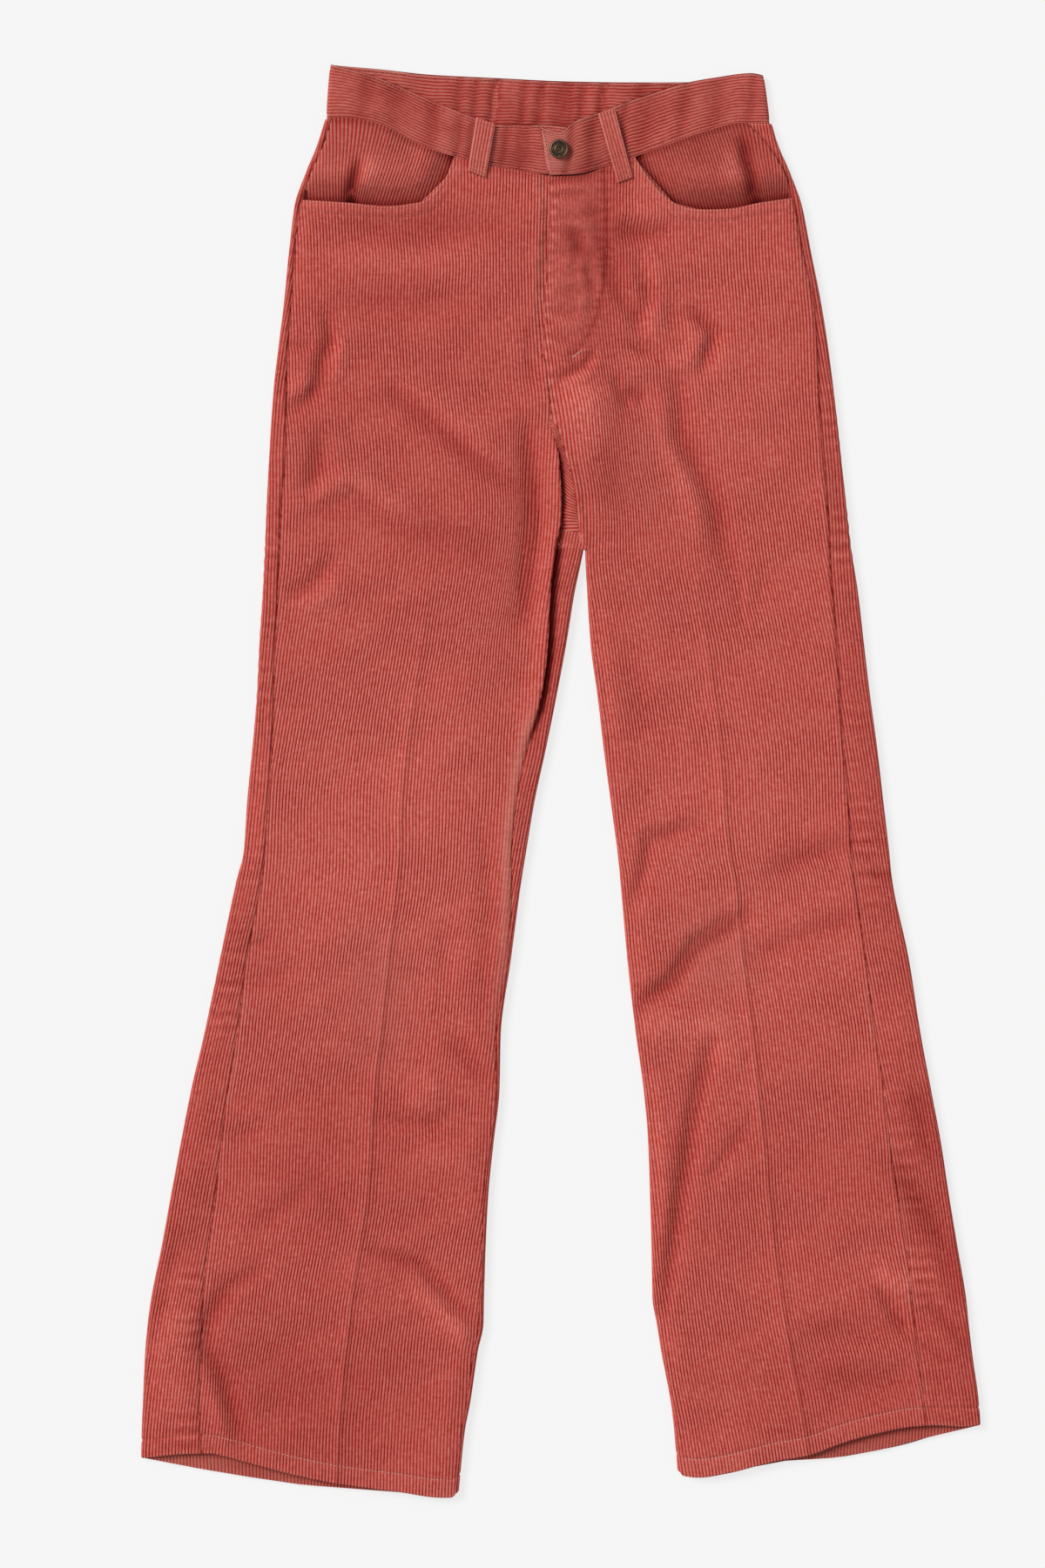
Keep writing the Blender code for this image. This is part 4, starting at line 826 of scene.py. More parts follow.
    def weave(self) -> tuple[Array, Array, Array, list]:
        """Lay out the panel's vertices and faces.

        Returns:
            u and down of each vertex, whether it is on the inner face, and the faces.
        """
        rows, parts = self.rows(), self.segments()
        straight = np.where(rows.upper_share + rows.lower_share > 0, np.inf, rows.fixed)
        starts = [0] + [int(np.argmin(np.abs(straight - part.first_down))) for part in parts[1:]]
        ends = starts[1:] + [len(rows.fixed) - 1]
        outer = FaceGrid(self, rows, parts, starts, ends, inner=False)
        inner = FaceGrid(self, rows, parts, starts, ends, inner=True, first_id=len(outer.u))
        faces = outer.faces + inner.faces
        for chain, other, outward in zip(outer.chains(), inner.chains(), (False, True, True, False)):
            faces.extend(zipped(chain, other) if outward else zipped(other, chain))
        inside = np.arange(len(outer.u) + len(inner.u)) >= len(outer.u)
        return np.array(outer.u + inner.u), np.array(outer.down + inner.down), inside, faces

    def surface(self, w: Array, down: Array) -> tuple[Array, Array]:
        """x and height of the finished outer face, ribs left out; for what is sewn on it."""
        placed = self.place(w, down)
        return placed.x, placed.z + self.detail(w, placed.x, down)

    def build(self, material: bpy.types.Material) -> bpy.types.Object:
        """Make the panel.

        Args:
            material: Its finish.

        Returns:
            The panel's object, standing for its solid.
        """
        self.prepare()
        u, down, inside, faces = self.weave()
        w = self.w_of(u, down)
        placed = self.place(w, down)
        masks = self.masks(w, placed.x, down)
        masks = masks._replace(faded=np.where(inside, 0.9, masks.faded))
        phase = u / WALE
        depth = WALE_DEPTH * (1 - 0.75 * masks.crushed) * (0.97 + 0.06 * wander(u, down, 8))
        outward = self.detail(w, placed.x, down) - depth * groove_at(phase)
        hem = HEM_EXTRA * (self.lower(u) - down < HEM_HEIGHT)
        room = np.clip(placed.z - self.wall - hem - LOWEST_INNER, 0, self.hollow(placed.x, down))
        outward = np.where(inside, -self.wall - hem - room * (placed.nz > 0.9), outward)
        points = np.stack([placed.x + outward * placed.nx, LENGTH / 2 - down,
                           np.maximum(placed.z + outward * placed.nz, 0)], axis=-1)
        thing = make_object(self.node, points, faces, material, np.stack([phase, down / 10], axis=-1),
                            masks, self.relief(placed.x, down))
        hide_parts(self.node)
        return thing


class FaceGrid:
    """The vertices and faces of one face of a panel: the outer one follows the wales, the inner one,
    which is out of sight, the panel's own few lines."""

    def __init__(self, panel: Panel, rows: Rows, parts: list[Segment], starts: list[int], ends: list[int],
                 inner: bool, first_id: int = 0) -> None:
        """Lay the face out.

        Args:
            panel: The panel it belongs to.
            rows: The panel's rows.
            parts: Its segments.
            starts: First row of each segment.
            ends: Last row of each.
            inner: Whether this is the inner face.
            first_id: Number of its first vertex.
        """
        self.u: list[float] = []
        self.down: list[float] = []
        self.first_id = first_id
        self.faces: list[tuple[int, ...]] = []
        self.starts, self.ends = starts, ends
        self.kept = sorted(set(range(0, len(rows.fixed), panel.inner_rows_every if inner else 1))
                           | set(starts) | set(ends))
        self.at_row: dict[int, list[tuple[float, int]]] = {row: [] for row in self.kept}
        self.side_ids: dict[tuple[int, int, int], int] = {}
        for index, part in enumerate(parts):
            stops = part.stops if inner else (part.stops[0], part.stops[-1])
            for number, stop in enumerate(stops):
                last = number == len(stops) - 1
                u, down = panel.follow(stop, rows)
                for row in self.kept:
                    if starts[index] <= row <= ends[index]:
                        made = self.vertex(row, u[row], down[row])
                        if number == 0 or last:
                            self.side_ids[index, row, int(last)] = made
        if not inner:
            self.add_columns(panel, rows)
        for row in self.kept:
            self.at_row[row].sort()
        self.add_faces(inner)

    def vertex(self, row: int, u: float, down: float) -> int:
        """A vertex of a row, made once."""
        for other_u, made in self.at_row[row]:
            if abs(other_u - u) < 1e-4:
                return made
        self.u.append(float(u))
        self.down.append(float(down))
        made = self.first_id + len(self.u) - 1
        self.at_row[row].append((float(u), made))
        return made

    def add_columns(self, panel: Panel, rows: Rows) -> None:
        """Add the columns that follow the wales, inside the side edges."""
        edges_u = [at[0] for row in self.kept for at in self.at_row[row]]
        counts = np.arange(math.floor(min(edges_u) / WALE), math.ceil(max(edges_u) / WALE) + 1)
        column_u = (counts[:, None] + np.array(WALE_STOPS)).ravel() * WALE
        downs = rows.down(panel.upper(column_u), panel.lower(column_u))
        for row in self.kept:
            at_edges = [at[0] for at in self.at_row[row]]
            keep = (column_u > min(at_edges)) & (column_u < max(at_edges))
            for at in at_edges:
                keep &= np.abs(column_u - at) > panel.clear
            chosen = column_u[keep].tolist()
            start = self.first_id + len(self.u)
            self.u.extend(chosen)
            self.down.extend(downs[row][keep].tolist())
            self.at_row[row].extend((u, start + number) for number, u in enumerate(chosen))

    def stretch(self, part: int, row: int) -> Chain:
        """Vertices of a row within a segment, and their u."""
        at, ids = map(list, zip(*self.at_row[row]))
        first, last = [ids.index(self.side_ids[part, row, end]) for end in (0, 1)]
        if first > last:
            raise ValueError(f"row {row} of segment {part} runs backwards")
        return ids[first:last + 1], at[first:last + 1]

    def add_faces(self, inner: bool) -> None:
        """Join each row to the next."""
        for part, (start, end) in enumerate(zip(self.starts, self.ends)):
            rows = [row for row in self.kept if start <= row <= end]
            upper = self.stretch(part, rows[0])
            for row in rows[1:]:
                lower = self.stretch(part, row)
                faces = self.strip(upper, lower, inner)
                self.faces.extend([face[::-1] for face in faces] if inner else faces)
                upper = lower

    def strip(self, upper: Chain, lower: Chain, inner: bool) -> list[tuple[int, ...]]:
        """Faces between two rows: squares where both have the same wale, triangles at the sides."""
        if inner:
            return zipped(scaled(upper), scaled(lower))
        (ids, at), (low_ids, low_at) = upper, lower
        in_lower = {u: number for number, u in enumerate(low_at)}
        shared = [(number, in_lower[u]) for number, u in enumerate(at) if u in in_lower]
        faces = []
        c = d = 0
        for a, b in shared + [(len(ids) - 1, len(low_ids) - 1)]:
            if a - c == 1 and b - d == 1:
                faces.append((ids[c], low_ids[d], low_ids[b], ids[a]))
            elif (a, b) != (c, d):
                faces.extend(zipped((ids[c:a + 1], at[c:a + 1]), (low_ids[d:b + 1], low_at[d:b + 1])))
            c, d = a, b
        return faces

    def chains(self) -> list[Chain]:
        """The edge of the face: top, low side, bottom and high side, with places to join them by."""
        found = []
        for end in (0, 1):
            ids, at = [], []
            for part, (start, last) in enumerate(zip(self.starts, self.ends)):
                first = self.side_ids[part, start, end]
                if part and first != ids[-1]:
                    row_ids = [made for _, made in self.at_row[start]]
                    here, there = row_ids.index(ids[-1]), row_ids.index(first)
                    step = 1 if there > here else -1
                    for number, index in enumerate(range(here + step, there + step, step), 1):
                        ids.append(row_ids[index])
                        at.append(start + 0.5 * number / abs(there - here))
                elif not part:
                    ids.append(first)
                    at.append(float(start))
                for row in self.kept:
                    if start < row <= last:
                        ids.append(self.side_ids[part, row, end])
                        at.append(float(row))
            found.append((ids, at))
        top, bottom = self.stretch(0, 0), self.stretch(len(self.starts) - 1, self.kept[-1])
        return [scaled(top), found[0], scaled(bottom), found[1]]


class Patch(NamedTuple):
    """An oval mark on the cloth, fading to nothing at its rim."""

    x: float
    down: float
    half_width: float
    half_length: float
    strength: float


# Where the pile as a whole is paler, or darker below 0.
SHADED = (
    Patch(-130, 560, 110, 130, 0.09), Patch(120, 590, 100, 130, 0.06),
    Patch(-150, 800, 130, 90, -0.1), Patch(-190, 960, 140, 90, -0.16),
    Patch(190, 800, 120, 90, -0.07), Patch(200, 960, 140, 80, -0.12),
    Patch(-120, 220, 120, 130, -0.05), Patch(22, 130, 28, 88, -0.36),
    Patch(110, 270, 50, 80, 0.03), Patch(-281, 935, 24, 75, 0.12),
)
FADED = {
    Side.RIGHT: (Patch(-134, 668, 34, 62, 0.6), Patch(-58, 900, 18, 18, 0.3),
                 Patch(-150, 300, 40, 60, 0.15)),
    Side.LEFT: (Patch(14, 150, 26, 90, 0.2), Patch(112, 640, 40, 60, 0.35),
                Patch(60, 280, 30, 70, 0.2)),
}
WORN = {
    Side.RIGHT: (Patch(-190, 300, 8, 60, 0.2),
                 Patch(-63.2, 770.6, 2.6, 2.6, 1)),
    Side.LEFT: (Patch(20, 110, 16, 80, 0.12), Patch(152, 240, 10, 50, 0.15),
                Patch(185, 300.6, 2.2, 3, 1)),
}
CRUSHED = {
    Side.RIGHT: (Patch(-134, 668, 30, 50, 0.15),),
    Side.LEFT: (Patch(15, 130, 24, 80, 1), Patch(112, 640, 30, 40, 0.2)),
}
FLY_STITCH = ((31, 74), (32.5, 100), (32.8, 130), (31.6, 155), (28, 176), (20.5, 194), (10.5, 206.5))
FLY_SIDE, FLY_DOWN = 45, 220  # the fly's stitches lie within this
FLY_ROW = (83, 332)           # how far down the row along the fly edge starts and ends
FLY_BARTACK = (8, 209)
FAR = 99                      # too far from a line for it to tell
POCKET_ROWS = (1.9, 8.2)      # rows of stitches along a pocket edge
EDGE_ROW = 1.8                # one along every other edge


def patches_at(patches: tuple[Patch, ...], x: Array, down: Array) -> Array:
    """How strongly a table of patches marks the cloth."""
    total = np.zeros_like(x)
    for patch in patches:
        reach = np.hypot((x - patch.x) / patch.half_width, (down - patch.down) / patch.half_length)
        total += patch.strength * ease(1.3, 0.2, reach)
    return total


class FrontPanel(Panel):
    """A front: pressed crease, curved pocket edge, outseam and turned hem."""

    def upper_edge(self, w: Array, down: Array) -> Array:
        """The pocket edge, then the seam of the waistband."""
        at_pocket = (w - POCKET_INNER_END[self.side]) * self.sign > 0
        return np.where(at_pocket, edge(POCKET_EDGE[self.side], w), edge(BAND_SEAM[self.side], w) + BAND_GAP)

    def drift(self, u: Array, down: Array) -> Array:
        """The wales are drawn aside where they cross a fold."""
        return super().drift(u, down) + 0.5 * RELIEF.at(self.grain(down) + u, down)

    def relief(self, x: Array, down: Array) -> Array:
        """Painted shade below the waistband, in a thin line beside the pressed crease, and along the outseam.
        """
        under_band = -2.2 * bell(down - edge(BAND_SEAM[self.side], x) - 1, 3.2) * (down < FIRST_FULL_ROW)
        from_crease = x - self.leg_line("crease", down)
        return (under_band - 1.3 * bell(from_crease - 2.3, 1.6) * ease(330, 620, down)
                - (1.5 + 2.1 * ease(760, 400, down)) * bell(self.from_seam(x, down), 1.5))

    def gape(self, x: Array, down: Array) -> Array:
        """How far the mouth of the pocket stands open."""
        if np.min(down) > FIRST_FULL_ROW:
            return np.zeros_like(x)
        return (2 * bell(to_polyline(x, down, POCKET_EDGE[self.side]), 10)
                * ease(3, 30, self.from_seam(x, down))
                * ease(0, 24, np.abs(x - POCKET_INNER_END[self.side])))

    def outseam(self, down: Array) -> Array:
        """w of the outseam."""
        return self.leg_line("outseam", down) - self.sign * SEAM_GAP / 2

    def detail(self, w: Array, x: Array, down: Array) -> Array:
        """Seams, stitches and edges of a front."""
        from_lower = self.lower(self.u_of(w, down)) - down
        add = self.finished_edges(w, down) + 0.22 * wander(x, down, 3) * bell(from_lower - 6, 7)
        if np.min(down) < FIRST_FULL_ROW:
            at_pocket = (w - POCKET_INNER_END[self.side]) * self.sign > -4
            from_pocket = to_polyline(w, down, POCKET_EDGE[self.side])
            ripple = np.sin(math.tau * w / 5.2 + 1.3 * np.sin(w / 13))
            near = sum(sewn_line(from_pocket - row, 0.42) for row in POCKET_ROWS)
            add += np.where(at_pocket, near + 0.22 * ripple * bell(from_pocket - 4.5, 3), 0)
        return add + 0.35 * bell(w - self.leg_line("crease", down), 1.3) * ease(380, 460, down)

    def masks(self, w: Array, x: Array, down: Array) -> Masks:
        """Wear of a front: seams, hem, crease, pocket edge and its own patches."""
        side = self.side
        from_lower = self.lower(self.u_of(w, down)) - down
        from_pocket = to_polyline(w, down, POCKET_EDGE[side])
        worn = np.maximum.reduce([
            0.55 * bell(self.from_seam(w, down) - 1.8, 2.2) * (0.7 + 0.3 * pucker(down, self.sign)),
            0.7 * bell(from_lower, 2.2), 0.5 * bell(from_lower - HEM_HEIGHT, 1.4),
            0.3 * (from_lower < HEM_HEIGHT),
            0.55 * bell(w - self.leg_line("crease", down), 1.1) * ease(300, 620, down),
            0.85 * bell(from_pocket - 0.6, 1.7), patches_at(WORN[side], x, down)])
        crushed = np.maximum(patches_at(CRUSHED[side], x, down), 0.25 * bell(from_pocket - 5, 4.5))
        uneven = rubbed(x, down)
        return Masks(worn * uneven, patches_at(FADED[side], x, down) * uneven, crushed)


class RightFront(FrontPanel):
    """The right front, with the underlap that goes on beneath the fly."""

    def rows(self) -> Rows:
        """The panel's rows."""
        return panel_rows(self.row_spacing, (UNDERLAP_END, FORK_FIRST_LEG), LAST_FULL_ROW[self.side])

    def drift(self, u: Array, down: Array) -> Array:
        """The wales lean away from the rise seam above the fork."""
        lean = -6.5 * ease(232, 292, down) * ease(540, 400, down) * bell(u - 86, 34)
        return super().drift(u, down) + lean

    def place(self, w: Array, down: Array) -> Placed:
        """The whole panel lies on top."""
        return on_top(lambda x, down: right_front_height(x, down) + self.gape(x, down), w, down)

    def segments(self) -> list[Segment]:
        """With the underlap, and below it."""
        def lines(reach: float, count: int) -> tuple[Line, ...]:
            """From the outseam to beside the fly edge, the rise seam and the inseam."""
            return shares_between(self.outseam, shifted(rise_line, reach), count)
        return [Segment(0, lines(UNDERLAP_WIDTH, 12)), Segment(UNDERLAP_END, lines(-SEAM_GAP / 2, 10))]

    def felled(self, w: Array, down: Array) -> Array:
        """1 where the allowances of the inseam lie under the cloth, below the groove."""
        return bell(rise_line(down) - w - 4, 4.2) * ease(440, 480, down) * ease(730, 600, down)

    def detail(self, w: Array, x: Array, down: Array) -> Array:
        """The rolled edge along the inseam, and its puckers."""
        from_rise = rise_line(down) - w
        open_edge = ease(UNDERLAP_END + 30, UNDERLAP_END + 60, down)
        add = open_edge * (rolled_edge(np.maximum(from_rise, 0), 1.6)
                           + 0.2 * pucker(down, 2) * bell(from_rise - 3, 2.5))
        add += self.felled(w, down) * (0.5 + 0.3 * pucker(down, 2) - 0.5 * bell(from_rise - 7, 1.2))
        return super().detail(w, x, down) + add

    def relief(self, x: Array, down: Array) -> Array:
        """Painted light beside the fly edge, where the cloth dips under it."""
        beside = 2.8 * bell(x - rise_line(down) + 5, 4) * ease(UNDERLAP_END + 22, UNDERLAP_END, down)
        return super().relief(x, down) + beside

    def masks(self, w: Array, x: Array, down: Array) -> Masks:
        """Rubbed and pressed flat over the inseam's allowances as well."""
        masks, felled = super().masks(w, x, down), self.felled(w, down)
        return Masks(np.maximum(masks.worn, (0.35 + 0.2 * pucker(down, 2)) * felled),
                     np.maximum(masks.faded, 0.7 * felled), np.maximum(masks.crushed, 0.7 * felled))


class LeftFront(FrontPanel):
    """The left front: its fly lies on top, and in the leg it goes round the inner fold."""

    def fold_top(self, down: Array) -> Array:
        """Where the inner fold starts."""
        return self.leg_line("inner", down) + FOLD_RADIUS

    def place(self, w: Array, down: Array) -> Placed:
        """On top, and in the leg round the inner fold to the underside."""
        top = on_top(lambda x, down: left_front_height(x, down) + self.gape(x, down), w, down)
        start = self.fold_top(down)
        turned = (down > FORK_FIRST_LEG - 0.1) & (w < start)
        angle = np.clip((start - w) / FOLD_RADIUS, 0, math.pi)
        past = np.maximum(start - HALF_TURN - w, 0)
        folded = (start - FOLD_RADIUS * np.sin(angle) + past, FOLD_RADIUS * (1 + np.cos(angle)),
                  -np.sin(angle), np.cos(angle))
        return Placed(*(np.where(turned, *both) for both in zip(folded, top)))

    def drift(self, u: Array, down: Array) -> Array:
        """The wales lean outwards round the fly."""
        lean = 7 * ease(150, 260, down) * ease(380, 300, down) * bell(u + 72, 34)
        return super().drift(u, down) + lean

    def segments(self) -> list[Segment]:
        """Down to the fork, across it, and the leg."""
        turned = shifted(self.fold_top, -HALF_TURN)
        outer = shares_between(self.fold_top, self.outseam, 9)
        leg = (shifted(turned, -WRAP_UNDER),) + shares_between(turned, self.fold_top, 6)[:-1] + outer
        rise = shifted(rise_line, SEAM_GAP / 2)
        return [Segment(0, shares_between(rise, self.outseam, 10)), Segment(FORK_LAST_TORSO, outer),
                Segment(FORK_FIRST_WRAP, leg)]

    def from_stitch(self, x: Array, down: Array) -> Array:
        """Distance from the fly's row of stitches, or far away."""
        return np.where((x < FLY_SIDE) & (down < FLY_DOWN), to_polyline(x, down, FLY_STITCH), FAR)

    def detail(self, w: Array, x: Array, down: Array) -> Array:
        """The fly edge, its rows of stitches and the puckers between them."""
        add = super().detail(w, x, down)
        torso = ease(FORK_FIRST_LEG, FORK_LAST_TORSO, down)
        from_rise = np.maximum(w - rise_line(down), 0)
        add += torso * (rolled_edge(from_rise, 1.5) + sewn_line(from_rise - EDGE_ROW, 0.35)
                        + 0.4 * pucker(down * 0.75, 1) * bell(from_rise - 2.5, 3.2))
        from_stitch = self.from_stitch(w, down)
        return add + sewn_line(from_stitch, 0.6, 1.6) + 0.3 * pucker(down, 4) * bell(from_stitch - 3, 3)

    def relief(self, x: Array, down: Array) -> Array:
        """Painted shade along the fly's rows of stitches, which are sunk in the pile, and along its edge,
        with painted light and shade on the puckers that the rows draw up beside them.
        """
        from_stitch, from_rise = self.from_stitch(x, down), x - rise_line(down)
        drawn = 1.3 * pucker(down, 4) * bell(from_stitch - 3, 3) - 2.6 * bell(from_stitch, 1.5)
        edge_row = 1.8 * pucker(down * 0.75, 1) * bell(from_rise - 3, 3) - 3 * bell(from_rise, 1.4)
        return super().relief(x, down) + drawn + edge_row * ease(FORK_FIRST_LEG, 330, down)

    def masks(self, w: Array, x: Array, down: Array) -> Masks:
        """The fly edge is worn as well."""
        masks, from_rise = super().masks(w, x, down), w - rise_line(down)
        worn = ((0.6 + 0.3 * pucker(down * 0.75, 1) + 0.3 * bell(down - 220, 30))
                * bell(from_rise - 1, 2) * ease(FORK_FIRST_LEG, FORK_LAST_TORSO, down))
        return masks._replace(worn=np.maximum(masks.worn, worn))


@dataclass
class BackPanel(Panel):
    """A back: from the outseam round the outer fold and across the underside; the right one goes on
    round the inner fold to the inseam."""

    row_spacing: float = 4.6

    steps = 9

    def outer_top(self, down: Array) -> Array:
        """Where the outer fold starts on top."""
        return self.leg_line("outer", down) - self.sign * FOLD_RADIUS

    def inner_top(self, down: Array) -> Array:
        """Where the inner fold starts on top."""
        return self.leg_line("inner", down) + self.sign * FOLD_RADIUS

    def grain(self, down: Array) -> Array:
        """The wales of the strip beside the outseam."""
        return edge(STRIP_GRAIN[self.side], down)

    def drift(self, u: Array, down: Array) -> Array:
        """On the right back the wales turn with the leg, so that they follow its inner fold as well."""
        if self.side is Side.LEFT:
            return super().drift(u, down)
        leg = np.maximum(down, FORK_FIRST_LEG)
        lag, middle = [self.under_w(self.inner_top(at), at) - self.grain(at)
                       for at in (leg, np.full_like(leg, 700))]
        return super().drift(u, down) + (lag - middle) * ease(-30, -190, u)

    def under_w(self, x: Array, down: Array) -> Array:
        """w of a place on the underside."""
        return 2 * self.outer_top(down) + self.sign * HALF_TURN - x

    def turns(self, w: Array, down: Array) -> tuple[Array, Array]:
        """How far the cloth has turned round the outer and the inner fold at w."""
        outer = np.clip(self.sign * (w - self.outer_top(down)) / FOLD_RADIUS, 0, math.pi)
        if self.side is Side.LEFT:
            return outer, np.zeros_like(outer)
        start = self.under_w(self.inner_top(down), down)
        inner = np.clip((start - w) / FOLD_RADIUS, 0, math.pi)
        return outer, np.where(down > FORK_FIRST_LEG - 0.1, inner, 0)

    def x_of(self, w: Array, down: Array) -> Array:
        """x at w."""
        outer, inner = self.turns(w, down)
        sign, top, inner_top = self.sign, self.outer_top(down), self.inner_top(down)
        x = np.where(outer <= 0, w, top + sign * FOLD_RADIUS * np.sin(outer))
        x = np.where(outer >= math.pi, 2 * top + sign * HALF_TURN - w, x)
        x = np.where(inner > 0, inner_top + FOLD_RADIUS * np.sin(inner), x)
        strip = self.under_w(inner_top, down) - HALF_TURN - w
        return np.where(inner >= math.pi, inner_top - strip, x)

    def place(self, w: Array, down: Array) -> Placed:
        """Strip on top, fold, underside, and for the right leg fold and strip again."""
        outer, inner = self.turns(w, down)
        x = self.x_of(w, down)
        height = right_back_height if self.side is Side.RIGHT else partial(top_height, self.side)
        top = on_top(height, x, down)
        nx = np.where(inner > 0, np.sin(inner), self.sign * np.sin(outer))
        nz = np.where(inner > 0, -np.cos(inner), np.cos(outer))
        lies_on_top = (outer <= 0) | (inner >= math.pi)
        folded = (x, FOLD_RADIUS * (1 + nz), nx, nz)
        return Placed(*(np.where(lies_on_top, *both) for both in zip(top, folded)))

    def upper_edge(self, w: Array, down: Array) -> Array:
        """Under the waistband all round."""
        return band_low(self.side, self.x_of(w, down), self.turns(w, down)[0]) + BAND_GAP

    def lower_edge(self, w: Array, down: Array) -> Array:
        """The front's hem on top, the back's below."""
        x = self.x_of(w, down)
        outer, inner = self.turns(w, down)
        above = (outer < math.pi / 2) | (inner > math.pi / 2)
        return np.where(above, edge(FRONT_HEM[self.side], x), edge(BACK_HEM[self.side], x))

    def segments(self) -> list[Segment]:
        """The torso, and the leg."""
        def under(x_at: Line) -> Line:
            """The line on the underside with a given x."""
            return lambda down: self.under_w(x_at(down), down)
        seam = shifted(partial(self.leg_line, "outseam"), self.sign * SEAM_GAP / 2)
        turned = shifted(self.outer_top, self.sign * HALF_TURN)
        centre = under(lambda down: np.interp(down, *zip(*CENTRE_BACK)) + self.sign * SEAM_GAP / 2)
        outside = shares_between(turned, self.outer_top, 6)[:-1] + shares_between(self.outer_top, seam, 2)
        torso = shares_between(centre, turned, 6)[:-1] + outside
        if self.side is Side.RIGHT:
            inner_fold = under(self.inner_top)
            folded = shifted(inner_fold, -HALF_TURN)
            leg = (shares_between(lambda down: folded(down) - (
                       self.inner_top(down) - rise_line(down) - SEAM_GAP / 2), folded, 2)[:-1]
                   + shares_between(folded, inner_fold, 6)[:-1]
                   + shares_between(inner_fold, turned, 6)[:-1] + outside)
        else:
            left_end = under(shifted(partial(self.leg_line, "inner"), FOLD_RADIUS + WRAP_UNDER + SEAM_GAP))
            torso = torso[::-1]
            leg = outside[::-1] + shares_between(turned, left_end, 6)[1:]
        return [Segment(0, torso), Segment(FORK_FIRST_LEG, leg)]

    def relief(self, x: Array, down: Array) -> Array:
        """Painted shade beside the outseam, painted light and shade on the ripples of the strip beside it,
        slightly darker all over, and on the right back painted shade under the right front's edge in the
        groove.
        """
        beside = (1.6 + 2.6 * ease(760, 400, down)) * bell(self.from_seam(x, down), 1.7)
        relief = 5 * self.ripple(x, down) - 0.8 - beside
        if self.side is Side.LEFT:
            return relief
        return relief - 11 * bell(x - rise_line(down), 4.6) * groove_window(down)

    def ripple(self, w: Array, down: Array) -> Array:
        """The uneven gathering of the strip beside the outseam."""
        uneven = 0.17 + 0.17 * np.sin(down / 43 + self.sign) + 0.15 * np.sin(down / 17)
        return uneven * pucker(down * 0.62, 2 + self.sign) * bell(self.from_seam(w, down) - 9, 11)

    def detail(self, w: Array, x: Array, down: Array) -> Array:
        """The outseam's puckers, the hem and its stitches."""
        add = self.finished_edges(w, down) + self.ripple(w, down) * ease(200, 330, down)
        if self.side is Side.RIGHT:
            from_rise = np.where(self.turns(w, down)[1] >= math.pi, x - rise_line(down), FAR)
            add += rolled_edge(np.maximum(from_rise, 0), 1.4)
        return add

    def masks(self, w: Array, x: Array, down: Array) -> Masks:
        """Worn along the seam, the folds and the hem."""
        outer, inner = self.turns(w, down)
        worn = np.maximum.reduce([
            0.5 * bell(self.from_seam(w, down) - 1.8, 2.2),
            0.4 * np.sin(outer) ** 4 + 0.3 * np.sin(inner) ** 4,
            0.6 * bell(self.lower(self.u_of(w, down)) - down, 2)])
        return super().masks(w, x, down)._replace(worn=worn * rubbed(x, down))


